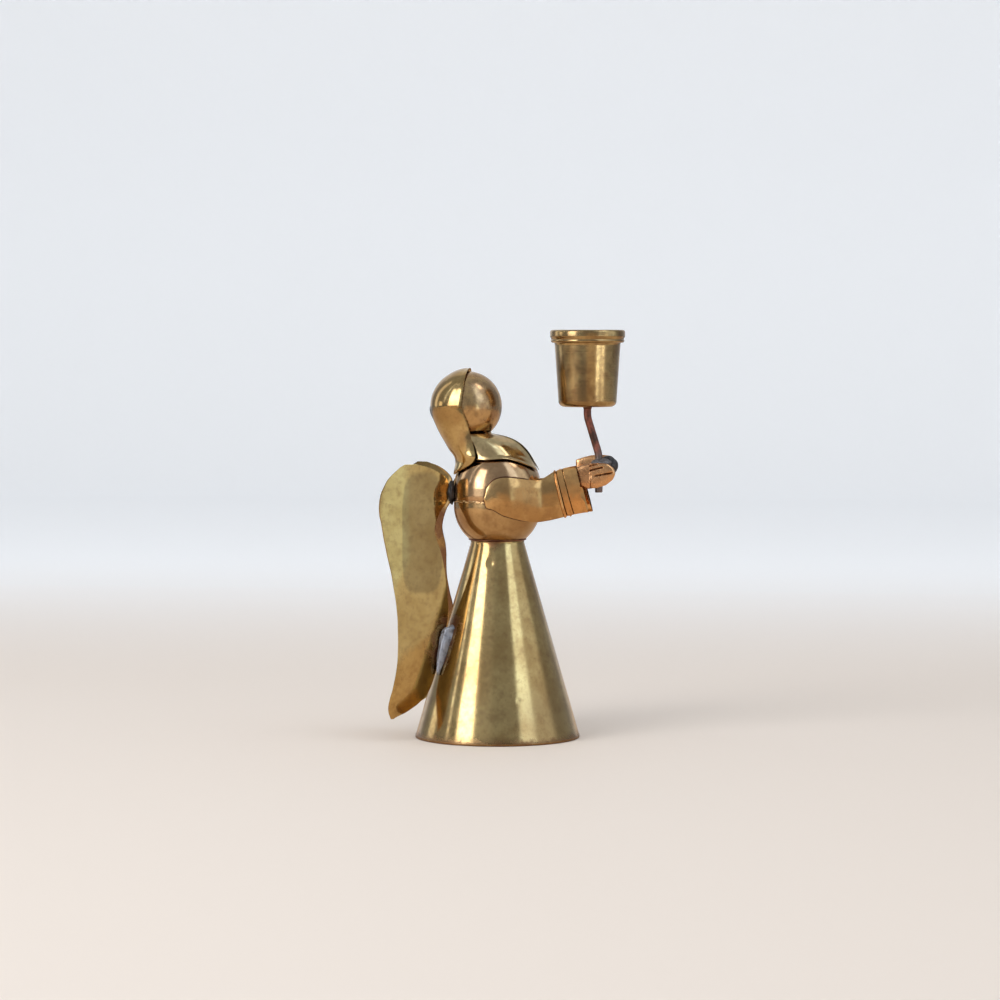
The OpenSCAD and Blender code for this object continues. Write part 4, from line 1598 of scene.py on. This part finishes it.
@dataclass
class CandleStem(Assembly):
    """The bent wire, with its solder at the hands and under the cup."""

    bend_r: float = 10.0 * MM
    lean: float = math.radians(17.0)
    neck: float = 2.2 * MM
    neck_steps: int = 4
    bend_steps: int = 12
    straight_steps: int = 10
    tail_steps: int = 12
    skin_gap: float = 0.02 * MM

    def __post_init__(self) -> None:
        """Reads the wire's ends from the frame."""
        start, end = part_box("candle_stem")
        self.r = (end.y - start.y) / 2
        self.low_z, self.high_z = start.z, end.z
        self.low_x, self.high_x = end.x - self.r, start.x + self.r

    def path(self) -> list[tuple[float, float, float]]:
        """Distance ahead, height and lean of each station, from the top down.

        Returns:
            The stations.
        """
        bend, lean = self.bend_r, self.lean
        shift = self.low_x - self.high_x
        straight = (shift - 2 * bend * (1 - math.cos(lean))) / math.sin(lean)
        upper = self.high_z - self.neck
        lower = upper - 2 * bend * math.sin(lean) - straight * math.cos(lean)
        turns = [lean * k / self.bend_steps for k in range(self.bend_steps + 1)]
        neck = [(self.high_x, mix(self.high_z, upper, k / self.neck_steps)) for k in range(self.neck_steps)]
        high_bend = [(self.high_x + bend * (1 - math.cos(a)), upper - bend * math.sin(a), a) for a in turns]
        low_bend = [(self.low_x - bend * (1 - math.cos(a)), lower + bend * math.sin(a), a) for a in turns]
        leg = ramp(high_bend[-1][:2], low_bend[-1][:2], self.straight_steps)[:-1]
        tail = ramp((self.low_x, lower), (self.low_x, self.low_z), self.tail_steps)
        return [
            *((x, z, 0.0) for x, z in neck), *high_bend, *((x, z, lean) for x, z in leg),
            *reversed(low_bend), *((x, z, 0.0) for x, z in tail),
        ]

    def wire(self) -> Piece:
        """Wire drawn along its path, with closed and rounded ends.

        Returns:
            The finished piece.
        """
        route = self.path()
        count = len(route) - 1
        r = self.r - self.skin_gap

        def place(across: float, along: float) -> Vector:
            """Point of the wire's skin.

            Args:
                across: share of the way round the wire.
                along: share of the way down the wire.

            Returns:
                The point.
            """
            x, z, lean = route[int(round(along * count))]
            turn = 2 * math.pi * across
            flat = r * math.cos(turn)
            return Vector((x + flat * math.cos(lean), r * math.sin(turn), z + flat * math.sin(lean)))

        piece = Bench.sheet("stem_wire", 40, count, place)
        Bench.close_ends(piece)
        Bench.merge(piece)
        Bench.round_edges(piece, 0.3 * MM, 3)
        Bench.modifier(piece, "SUBSURF", levels=1, render_levels=1)
        Bench.wear(piece, Wear(0.07 * MM, 1.6 * MM, 21.0))
        return Bench.shade(piece, 60)

    def fillet(self) -> Piece:
        """Fillet of solder between the wire and the cup.

        Returns:
            The finished piece.
        """
        start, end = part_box("stem_solder")
        reach = (end.y - start.y) / 2
        outline = [
            (self.r * 0.9, start.z - 0.35 * MM), (self.r + 0.08 * MM, start.z - 0.3 * MM),
            (mix(self.r, reach, 0.3), mix(start.z, end.z, 0.4)),
            (mix(self.r, reach, 0.6), mix(start.z, end.z, 0.8)),
            (reach, end.z), (self.r * 0.9, end.z), (self.r * 0.9, start.z - 0.35 * MM),
        ]
        piece = Bench.turned("stem_fillet", outline, 64, Vector((self.high_x, 0, 0)))
        Bench.wear(piece, Wear(0.08 * MM, 0.9 * MM, 22.0))
        return Bench.shade(piece, 70)

    def hand_lead(self) -> Piece:
        """Lead on top of the hands, round the wire.

        Returns:
            The finished piece.
        """
        hand_low, hand_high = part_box("right_hand")
        tall = hand_high.z - hand_low.z
        reach = high("hand_solder").y
        level = (hand_high.z + hand_low.z) / 2 + tall * 0.46
        middle = Vector((self.low_x + 1.2 * MM, -0.4 * MM, level))
        return Bench.lump("hand_lead", middle, Vector((reach * 1.15, reach * 0.92, tall * 0.2)), 0.16, 23.0)

    def palm_lead(self) -> Piece:
        """Dark lead that fills the gap between the palms and stands out ahead of them.

        Returns:
            The finished piece.
        """
        start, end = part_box("hand_solder")
        middle = Vector((mix(self.low_x, end.x, 0.48), 0.8 * MM, mix(start.z, end.z, 0.47)))
        radii = Vector(((end.x - self.low_x) * 0.5, 2.3 * MM, (end.z - start.z) * 0.52))
        return Bench.lump("palm_lead", middle, radii, 0.08, 24.0)

    def pieces(self) -> list[tuple]:
        """The wire, its fillet and the lead at the hands.

        Returns:
            The pieces, as build reads them.
        """
        return [
            (self.wire(), "wire", "copper_wire", "candle_stem"),
            (self.fillet(), "joint", "copper_wire", "stem_solder"),
            (self.hand_lead(), "lead_mid", "lead_solder", "hand_solder"),
            (self.palm_lead(), "lead_dark", "lead_solder"),
        ]


@dataclass
class Cup(Assembly):
    """The turned cup."""

    low_r: float = 10.7 * MM
    body_r: float = 12.1 * MM
    floor: float = 1.0 * MM
    corner: float = 2.2 * MM
    inner_corner: float = 0.6 * MM
    pole_r: float = 0.05 * MM
    rim_height: float = 4.8 * MM
    bead_in: float = 0.3 * MM
    bead_roll: float = 0.8 * MM
    waist_rise: float = 1.85 * MM
    roll: float = 0.9 * MM
    lip: float = 0.35 * MM
    socket_length: float = 9.0 * MM
    socket_r: float = 11.3 * MM

    def outline(self, height: float, rim: float) -> Outline:
        """Outline of a cup of this height and rim, from the bottom up the outside and down the inside.

        Args:
            height: the cup's height.
            rim: radius of the cup's rim.

        Returns:
            Radius and height of each point.
        """
        hem_z = height - self.rim_height
        bead_r, roll, lip = rim - self.bead_in, self.roll, self.lip
        socket_end = (self.socket_r, height - self.socket_length)
        inner_low = self.low_r - self.floor
        return [
            (self.pole_r, 0.0), (self.low_r - self.corner, 0.0),
            *arc((self.low_r - self.corner, self.corner), self.corner, -80, 0, 8),
            *ramp((self.low_r, self.corner), (self.body_r, hem_z - 0.25 * MM), 30),
            (self.body_r + 0.1 * MM, hem_z),
            *arc((bead_r - self.bead_roll, hem_z + self.bead_roll), self.bead_roll, -80, 40, 8),
            (rim - 0.42 * MM, hem_z + 1.5 * MM), (rim - 0.38 * MM, hem_z + 1.7 * MM),
            *arc((rim - roll, hem_z + self.waist_rise + roll * 0.8), roll, -30, 0, 5),
            *arc((rim - roll, height - roll), roll, 0, 90, 8),
            (rim - roll - 0.2 * MM, height),
            *arc((self.socket_r + lip, height - lip), lip, 90, 180, 5),
            *ramp((self.socket_r, height - lip), socket_end, 6),
            *ramp(socket_end, (inner_low, self.floor + self.inner_corner), 10),
            (inner_low - self.inner_corner, self.floor), (self.pole_r, self.floor),
        ]

    def pieces(self) -> list[tuple]:
        """The cup.

        Returns:
            The pieces, as build reads them.
        """
        start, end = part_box("candle_cup")
        outline = self.outline(end.z - start.z, (end.x - start.x) / 2)
        piece = Bench.turned("cup_turned", outline, 192, Vector(((start.x + end.x) / 2, 0, start.z)))
        Bench.close_ends(piece)
        Bench.wear(piece, Wear(0.05 * MM, 7 * MM, 25.0))
        Bench.shade(piece, 28)
        return [(piece, "cup", "polished_brass", "candle_cup")]


@dataclass
class Wing(Assembly):
    """One wing with its two patches of solder."""

    side: Side
    torso: Torso
    skirt: Skirt
    height: float = 92.6 * MM
    low: float = 8.4 * MM
    depth: float = 23.8 * MM
    sheet: float = 0.9 * MM
    edge: float = 0.2 * MM
    curve_r: float = 77.0 * MM
    splay: float = math.radians(37.0)
    root_gap: float = 1.4 * MM
    root_half: float = 6.2 * MM
    bend_r: float = 9.6 * MM
    twist: float = 0.33
    twist_top: float = 0.62
    seat_gap: float = 0.15 * MM
    bend: ShareTable = ShareTable((
        (0, 0), (0.70, 0), (0.75, 0.03), (0.81, 0.16), (0.88, 0.26), (0.935, 0.15), (1, 0),
    ))
    edges: ShareTable = ShareTable((
        (0.000, 0.76, 0.80), (0.025, 0.58, 0.82), (0.052, 0.43, 0.82), (0.088, 0.30, 0.79),
        (0.115, 0.24, 0.76), (0.154, 0.19, 0.73), (0.194, 0.15, 0.705), (0.233, 0.11, 0.69),
        (0.273, 0.07, 0.685), (0.312, 0.04, 0.685), (0.352, 0.02, 0.69), (0.391, 0.00, 0.695),
        (0.431, -0.01, 0.71), (0.471, 0.00, 0.73), (0.514, 0.01, 0.76), (0.574, 0.04, 0.80),
        (0.630, 0.08, 0.85), (0.668, 0.12, 0.88), (0.708, 0.17, 0.91), (0.740, 0.19, 0.93),
        (0.772, 0.17, 0.95), (0.795, 0.14, 0.97), (0.819, 0.10, 0.98), (0.842, 0.04, 0.98),
        (0.866, 0.01, 0.97), (0.890, 0.00, 0.95), (0.914, 0.00, 0.91), (0.938, 0.02, 0.865),
        (0.956, 0.08, 0.81), (0.972, 0.16, 0.75), (0.984, 0.25, 0.70), (0.991, 0.33, 0.67),
        (1.000, 0.45, 0.61),
    ))
    far_trim: float = 0.09
    trim_middle: float = 0.54
    trim_width: float = 0.34
    spindle_share: float = 0.45
    spindle_wide: float = 2.5 * MM
    spindle: ShareTable = ShareTable((
        (0.00, 0.20), (0.10, 0.40), (0.30, 0.68), (0.50, 0.86), (0.75, 1.00), (0.95, 0.94), (1.00, 0.60),
    ))

    def __post_init__(self) -> None:
        """Works out the lean that lays the front edge on the skirt."""
        self.sign, self.word = self.side.value, self.side.word
        self.root_back = self.torso.r + self.root_gap
        touch_z = self.skirt.height * self.spindle_share
        share = (touch_z - self.low) / self.height
        back = self.edges.at(share, 1) * self.depth
        reach = self.skirt.radius(touch_z) + self.sheet / 2 + self.seat_gap
        half = math.sqrt(max(reach**2 - (self.root_back + back) ** 2, 0.0))
        self.lean = (half - self.flat_half(back)) / (1 - share)

    def flat_half(self, back: float) -> float:
        """Half distance between the wings a distance behind the root, without the lean."""
        return self.root_half + math.tan(self.splay) * back - back**2 / (2 * self.curve_r)

    def point(self, back: float, share: float, near: float) -> Vector:
        """Point of the wing's sheet at a distance behind its root and a share of its height.

        Args:
            back: distance behind the root.
            share: share of the wing's height.
            near: distance of the front edge behind the root.

        Returns:
            The point.
        """
        bent = max(self.bend.at(share, 1) * self.depth - back + near, 0.0)
        twist = self.twist * max(1 - share / self.twist_top, 0.0) * (back - near)
        y = self.flat_half(back) + self.lean * (1 - share) + twist - bent**2 / (2 * self.bend_r)
        return Vector((-self.root_back - back, y * self.sign, self.low + self.height * share))

    def trim(self, share: float) -> float:
        """How much narrower the far wing is at its front edge, as a share of its depth."""
        return self.far_trim * bump_at(share, self.trim_middle, self.trim_width) if self.sign > 0 else 0.0

    def wing(self) -> Piece:
        """Curved sheet with its cut outline and bent upper margin.

        Returns:
            The finished piece.
        """

        def place(across: float, along: float) -> Vector:
            """Point of the sheet.

            Args:
                across: share of the way back from the front edge.
                along: share of the wing's height.

            Returns:
                The point.
            """
            near = (self.edges.at(along, 1) + self.trim(along)) * self.depth
            far = self.edges.at(along, 2) * self.depth
            return self.point(mix(near, far, across), along, near)

        piece = Bench.sheet(f"{self.word}_wing_sheet", 72, 200, place)
        return Bench.plate(
            piece, Wear(0.09 * MM, 20 * MM, 31.0 + self.sign), self.sheet, self.edge, offset=0.0, segments=3
        )

    def root_lead(self) -> Piece:
        """Solder between the torso and the wing's root.

        Returns:
            The finished piece.
        """
        start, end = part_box(f"{self.word}_wing_solder")
        radii = Vector(((end.x - start.x) * 0.48, (end.y - start.y) * 0.45, (end.z - start.z) * 0.56))
        return Bench.lump(f"{self.word}_root_lead", (start + end) / 2, radii, 0.3, 35.0 + self.sign)

    def skirt_lead(self) -> Piece:
        """Long spindle of solder in the corner between the wing and the skirt.

        Returns:
            The finished piece.
        """
        start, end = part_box(f"{self.word}_skirt_solder")
        middle = (start + end) / 2
        half = (end.z - start.z) / 2
        slope = (self.skirt.foot - self.skirt.top) / self.skirt.height
        flat = Vector((middle.x, middle.y, 0)).normalized()

        def tapered(point: Vector) -> Vector:
            """Point of the spindle, with blunt ends and the lean of the skirt.

            Args:
                point: the point.

            Returns:
                The point.
            """
            share = clamp(point.z / half / 2 + 0.5)
            taper = self.spindle.at(share, 1) / max(2 * math.sqrt(share * (1 - share)), 0.3)
            return Vector((point.x * taper, point.y * taper, point.z)) + middle - flat * point.z * slope

        radii = Vector((self.spindle_wide, self.spindle_wide * 0.8, half))
        return Bench.lump(f"{self.word}_skirt_lead", ORIGIN, radii, 0.12, 37.0 + self.sign, tapered)

    def pieces(self) -> list[tuple]:
        """The wing and its solder.

        Returns:
            The pieces, as build reads them.
        """
        return [
            (self.wing(), f"wing_{self.word}", "polished_brass", f"{self.word}_wing"),
            (self.root_lead(), "lead_dark", "lead_solder", f"{self.word}_wing_solder"),
            (self.skirt_lead(), "lead", "lead_solder", f"{self.word}_skirt_solder"),
        ]


@dataclass(frozen=True)
class Pane:
    """A bright or dark patch of the room that the metal shows.

    Directions are in degrees: azimuth from the front, -Y, towards +X, and elevation above level.
    """

    left: float
    right: float
    bottom: float
    top: float
    tone: Colour
    side_blur: float
    rise_blur: float


@dataclass(frozen=True)
class Lamp:
    """A soft square lamp that points at the object and isn't mirrored in it."""

    name: str
    azimuth: float
    elevation: float
    distance: float
    size: float
    watts: float
    aim_height: float = 60 * MM

    def hang(self) -> None:
        """Adds the lamp to the scene."""
        a, e = math.radians(self.azimuth), math.radians(self.elevation)
        data = bpy.data.lights.new(self.name, "AREA")
        data.shape = "SQUARE"
        data.size = self.size
        data.energy = self.watts
        lamp = bpy.data.objects.new(self.name, data)
        towards = Vector((math.sin(a) * math.cos(e), -math.cos(a) * math.cos(e), math.sin(e)))
        lamp.location = towards * self.distance
        aim = Vector((0, 0, self.aim_height)) - lamp.location
        lamp.rotation_euler = aim.to_track_quat("-Z", "Y").to_euler()
        lamp.visible_glossy = False
        bpy.context.scene.collection.objects.link(lamp)


@dataclass
class Studio:
    """Floor, wall, lamps, the room that the metal shows, and the camera."""

    azimuth: float = 7.0
    distance: float = 1180 * MM
    camera_height: float = 147 * MM
    pitch: float = 2.888
    sideways: float = 0.93 * MM
    lens: float = 115.57
    table_ahead: float = 650 * MM
    table_behind: float = 700 * MM
    table_half: float = 900 * MM
    floor_growth: float = 3.11
    wall_round: float = 350 * MM
    wall_height: float = 2600 * MM
    wall_from: float = 150 * MM
    wall_full: float = 950 * MM
    room_radius: float = 9.0
    floor_tone: Colour = (0.82, 0.735, 0.66)
    floor_rough: float = 0.75
    mirrored_tone: Colour = (0.76, 0.59, 0.45)
    wall_lift: float = 0.25
    wall_tone: Colour = (0.835, 0.85, 0.872)
    air_tone: Colour = (0.81, 0.82, 0.83)
    air_strength: float = 0.6
    room_low_tone: Colour = (0.32, 0.35, 0.40)
    room_high_tone: Colour = (0.46, 0.51, 0.57)
    panes: tuple[Pane, ...] = (
        Pane(-34, -4, 8, 40, (0.52, 0.56, 0.64), 9.0, 5.0),
        Pane(2, 38, -16, 3, (0.66, 0.56, 0.48), 5.0, 2.0),
        Pane(64, 100, -1.2, 70, (0.88, 0.98, 1.12), 7.0, 2.0),
        Pane(50, 74, -9, 11, (0.86, 0.89, 0.95), 1.5, 1.0),
        Pane(39, 51, -9, 11, (1.02, 1.25, 1.44), 1.2, 1.0),
        Pane(42, 66, 14, 70, (1.82, 2.30, 2.90), 3.5, 3.0),
        Pane(38, 68, -20, -6.0, (7.00, 7.30, 7.80), 4.0, 0.8),
        Pane(74, 92, 50, 68, (4.60, 4.80, 5.10), 3.0, 4.0),
        Pane(-56, -31, 0, 46, (5.0, 5.3, 5.8), 2.5, 3.0),
        Pane(-74, -70.5, 12, 60, (2.1, 2.3, 2.7), 1.0, 4.0),
        Pane(-90, -79, 0, 11, (2.0, 2.0, 2.0), 2.0, 2.0),
        Pane(152, 181, -2, 70, (0.60, 0.60, 0.62), 6.0, 2.0),
        Pane(-181, -136, -2, 70, (0.84, 0.86, 0.90), 6.0, 2.0),
        Pane(-112, -99, -4, 50, (1.50, 1.56, 1.66), 2.0, 3.0),
    )
    lamps: tuple[Lamp, ...] = (
        Lamp("left_window", -41, 32, 1.6, 0.9, 10.5),
        Lamp("overhead", 20, 80, 1.8, 1.2, 9.3),
    )

    def camera(self) -> None:
        """Sets up the camera at the photograph's viewing angle."""
        a = math.radians(self.azimuth)
        side = Vector((math.cos(a), math.sin(a), 0))
        data = bpy.data.cameras.new("photo_camera")
        data.lens = self.lens
        data.sensor_width = 36.0
        data.clip_end = 50.0
        camera = bpy.data.objects.new("photo_camera", data)
        camera.location = Vector((math.sin(a), -math.cos(a), 0)) * self.distance + side * self.sideways
        camera.location.z = self.camera_height
        camera.rotation_euler = (math.radians(90 - self.pitch), 0, a)
        bpy.context.scene.collection.objects.link(camera)
        bpy.context.scene.camera = camera

    def paint(self) -> Material:
        """Paint of the floor and the wall, warm near the object and cool behind it.

        Returns:
            The material.
        """
        desk = Desk("floor_paint")
        depth = desk.axis(desk.spot(), "Y")
        ray = desk.node("LightPath")
        tone = desk.mix(desk.range(depth, self.wall_from, self.wall_full), self.floor_tone, self.wall_tone)
        tone = desk.mix(ray.outputs["Is Glossy Ray"], tone, self.mirrored_tone)
        lift = desk.range(depth, self.wall_from, self.wall_full, 0.0, self.wall_lift)
        lift = desk.times(lift, ray.outputs["Is Camera Ray"])
        shader = desk.node(
            "BsdfPrincipled",
            {
                "Base Color": tone, "Roughness": self.floor_rough, "Emission Color": tone,
                "Emission Strength": lift,
            },
        )
        return desk.close(shader)

    def floor(self) -> None:
        """Table top that the metal shows, the level floor round it, and the wall behind."""
        middle_y = (self.table_behind - self.table_ahead) / 2
        half_y = (self.table_behind + self.table_ahead) / 2
        wall_y = middle_y + half_y * self.floor_growth - self.wall_round
        wide = self.table_half * self.floor_growth

        def top(across: float, along: float) -> Vector:
            """Point of the table top."""
            return Vector((mix(-1, 1, across) * self.table_half, middle_y + mix(-1, 1, along) * half_y, 0))

        def rim(across: float, along: float) -> Vector:
            """Point of the floor round the table top, across right round and along outwards.

            Args:
                across: share of the way round.
                along: share of the way outwards.

            Returns:
                The point.
            """
            turn = (across % 1) * 4
            edge, share = int(turn), mix(-1, 1, turn % 1)
            x, y = ((share, -1), (1, share), (-share, 1), (-1, -share))[edge]
            grown = mix(1, self.floor_growth, along)
            return Vector((x * self.table_half * grown, middle_y + y * half_y * grown, 0))

        def wall(across: float, along: float) -> Vector:
            """Point of the wall, along from its round foot to its top.

            Args:
                across: share of the way across.
                along: share of the way up, with the round foot as its first half.

            Returns:
                The point.
            """
            turn = math.pi / 2 * clamp(along * 2)
            up = max(along - 0.5, 0.0) * 2 * self.wall_height
            y, z = wall_y + self.wall_round * math.sin(turn), self.wall_round * (1 - math.cos(turn))
            return Vector((mix(-wide, wide, across), y, z + up))

        paint = self.paint()
        for name, across, place in (("floor", 8, top), ("floor_rim", 64, rim), ("backdrop", 8, wall)):
            piece = Bench.sheet(name, across, 32, place)
            Bench.alone(piece)
            bpy.ops.object.shade_smooth()
            dress(piece, paint)
            piece.visible_glossy = name == "floor"

    def room_light(self) -> Material:
        """Glow of the room round the object, later panes over earlier ones.

        Returns:
            The material.
        """
        desk = Desk("room_light")
        unit = desk.node("VectorMath", {0: desk.spot()}, operation="NORMALIZE").outputs[0]
        parts = desk.node("SeparateXYZ", {0: unit})
        turn = desk.math("ARCTAN2", parts.outputs["X"], desk.times(parts.outputs["Y"], -1.0))
        azimuth = desk.times(turn, math.degrees(1))
        elevation = desk.times(desk.math("ARCSINE", parts.outputs["Z"]), math.degrees(1))
        tone = desk.mix(desk.range(elevation, -5.0, 60.0), self.room_low_tone, self.room_high_tone)
        for pane in self.panes:
            share = desk.range(azimuth, pane.left - pane.side_blur, pane.left + pane.side_blur)
            for start, end, value in (
                (pane.right + pane.side_blur, pane.right - pane.side_blur, azimuth),
                (pane.bottom - pane.rise_blur, pane.bottom + pane.rise_blur, elevation),
                (pane.top + pane.rise_blur, pane.top - pane.rise_blur, elevation),
            ):
                share = desk.times(share, desk.range(value, start, end))
            tone = desk.mix(share, tone, pane.tone)
        return desk.close(desk.node("Emission", {"Color": tone, "Strength": 1.0}))

    def room(self) -> None:
        """Shell that only reflections see."""
        bpy.ops.object.select_all(action="DESELECT")
        bpy.ops.mesh.primitive_uv_sphere_add(segments=64, ring_count=32, radius=self.room_radius)
        shell = Bench.named("room_shell")
        dress(shell, self.room_light())
        for ray in ("camera", "diffuse", "shadow", "transmission", "volume_scatter"):
            setattr(shell, "visible_" + ray, False)

    def world(self) -> None:
        """Even pale light from all round."""
        world = bpy.data.worlds.new("pale_air")
        world.use_nodes = True
        back = world.node_tree.nodes["Background"]
        back.inputs["Color"].default_value = (*self.air_tone, 1.0)
        back.inputs["Strength"].default_value = self.air_strength
        bpy.context.scene.world = world

    def build(self) -> None:
        """Sets up everything round the object."""
        bpy.context.scene.view_settings.view_transform = "Standard"
        self.camera()
        self.floor()
        self.world()
        self.room()
        for lamp in self.lamps:
            lamp.hang()


def brass_finishes() -> list[BrassFinish]:
    """Finishes of the brass pieces, with torch marks at the joints and painted shade along the far wing's
    front edge.

    Returns:
        The finishes.
    """
    start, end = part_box("right_skirt_solder")
    spindle_top = Vector((end.x, mix(start.y, end.y, 0.5), end.z))
    spindle_low = spindle_top.lerp(Vector((start.x, spindle_top.y, start.z)), 0.62)
    spindle_mid = spindle_top.lerp(spindle_low, 0.5)
    foot_right = Vector((20 * MM, -20 * MM, 8 * MM))
    # Painted shade on the inner face of the far wing along its front edge.
    far_wing_shade = ((-20 * MM, 50 * MM), (-22 * MM, 64 * MM), (-22.5 * MM, 78 * MM))
    waist = Vector((0.5 * MM, low("waist_disc").y, high("skirt_cone").z))
    # Middle of the painted reflection, a greyish field on the near wing.
    reflection_patch = Vector((-26 * MM, low("right_wing").y + 9 * MM, 76 * MM))
    return [
        BrassFinish(
            "skirt", seed=1.0, smoothest=0.10, roughest=0.20, foot_stain=4.2 * MM, dirt_reach=0.3 * MM,
            heated=(
                (spindle_top, 7 * MM, 0.8), (spindle_mid, 6 * MM, 0.9), (spindle_low, 6 * MM, 0.9),
                (waist, 4.5 * MM, 0.75), (foot_right, 18 * MM, 0.3),
            ),
        ),
        BrassFinish("torso", bright=srgb(194, 160, 110), deep=srgb(160, 124, 82), seed=2.0),
        BrassFinish("torso_upper", bright=srgb(206, 170, 124), deep=srgb(170, 134, 98), seed=2.6),
        BrassFinish("seam", bright=srgb(214, 182, 134), deep=srgb(180, 140, 96), seed=2.9),
        BrassFinish(
            "ball", bright=srgb(218, 180, 122), deep=srgb(164, 130, 94), stain=srgb(108, 78, 58),
            smoothest=0.16, roughest=0.3, grain=Grain.HAND, grain_depth=0.03 * MM, stain_from=0.5,
            cloud_scale=120.0, seed=3.0,
        ),
        BrassFinish("hair", seed=4.0),
        BrassFinish("collar", bright=srgb(218, 190, 138), deep=srgb(186, 158, 112), seed=5.0),
        BrassFinish(
            "sleeve", bright=srgb(216, 176, 118), deep=srgb(182, 140, 88), smoothest=0.12, roughest=0.27,
            seed=6.0,
        ),
        BrassFinish(
            "cuff", bright=srgb(240, 182, 114), deep=srgb(206, 148, 88), smoothest=0.13, roughest=0.28,
            seed=7.0,
        ),
        BrassFinish(
            "fist", bright=srgb(232, 178, 124), deep=srgb(192, 138, 92), smoothest=0.22, roughest=0.38,
            seed=8.0,
        ),
        BrassFinish(
            "cup", bright=srgb(190, 162, 110), deep=srgb(146, 116, 76), smoothest=0.14, roughest=0.24,
            grain=Grain.TURNED, grain_depth=0.016 * MM, dirt_reach=0.35 * MM, cloud_scale=110.0, seed=9.0,
        ),
        BrassFinish(
            "wing_right", bright=srgb(194, 162, 102), deep=srgb(174, 140, 84), smoothest=0.07,
            roughest=0.14, stain_from=0.62, dirt_reach=0.3 * MM,
            heated=((spindle_top, 8 * MM, 0.9), (spindle_mid, 8 * MM, 0.95), (spindle_low, 8 * MM, 0.95)),
            tarnished=((reflection_patch, Vector((6.8 * MM, 30 * MM, 22 * MM))),), seed=10.0,
        ),
        BrassFinish(
            "wing_left", bright=srgb(188, 154, 96), deep=srgb(166, 130, 78), smoothest=0.08, roughest=0.18,
            dirt_reach=0.4 * MM, seed=10.5,
            # Painted shade along the far wing's front edge.
            heated=tuple((Vector((x, 9 * MM, z)), 12 * MM, 0.8) for x, z in far_wing_shade),
        ),
        BrassFinish("inner", bright=srgb(190, 150, 96), deep=srgb(150, 112, 70), seed=11.0),
        BrassFinish(
            "joint", bright=srgb(130, 84, 60), deep=srgb(86, 54, 40), stain=srgb(60, 38, 30),
            smoothest=0.3, roughest=0.5, seed=12.0,
        ),
    ]


def finishes() -> Finishes:
    """Builds every finish once, by name.

    Returns:
        The materials.
    """
    made = [
        *brass_finishes(),
        CopperFinish("wire", grey_below=102 * MM),
        LeadFinish("lead", pale=srgb(148, 150, 156), dark=srgb(76, 75, 78)),
        LeadFinish("lead_mid", pale=srgb(112, 106, 104), dark=srgb(58, 53, 51), seed=5.5),
        LeadFinish("lead_dark", pale=srgb(84, 80, 78), dark=srgb(34, 31, 30), dark_from=0.5, seed=6.0),
    ]
    return {finish.name: finish.make() for finish in made}


def main() -> None:
    """Builds the studio and every piece of the holder."""
    Studio().build()
    made = finishes()
    skirt = Skirt()
    torso = Torso()
    head = Head(torso)
    parts: list[Assembly] = [skirt, torso, head, Collar(torso, head)]
    for side in Side:
        parts += [Arm(side, torso), Wing(side, torso, skirt)]
    for part in (*parts, CandleStem(), Cup()):
        part.build(made)
    for node in ("waist_disc", "neck_peg"):
        dress(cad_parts[node], made["inner"])


if __name__ == "__main__":
    main()
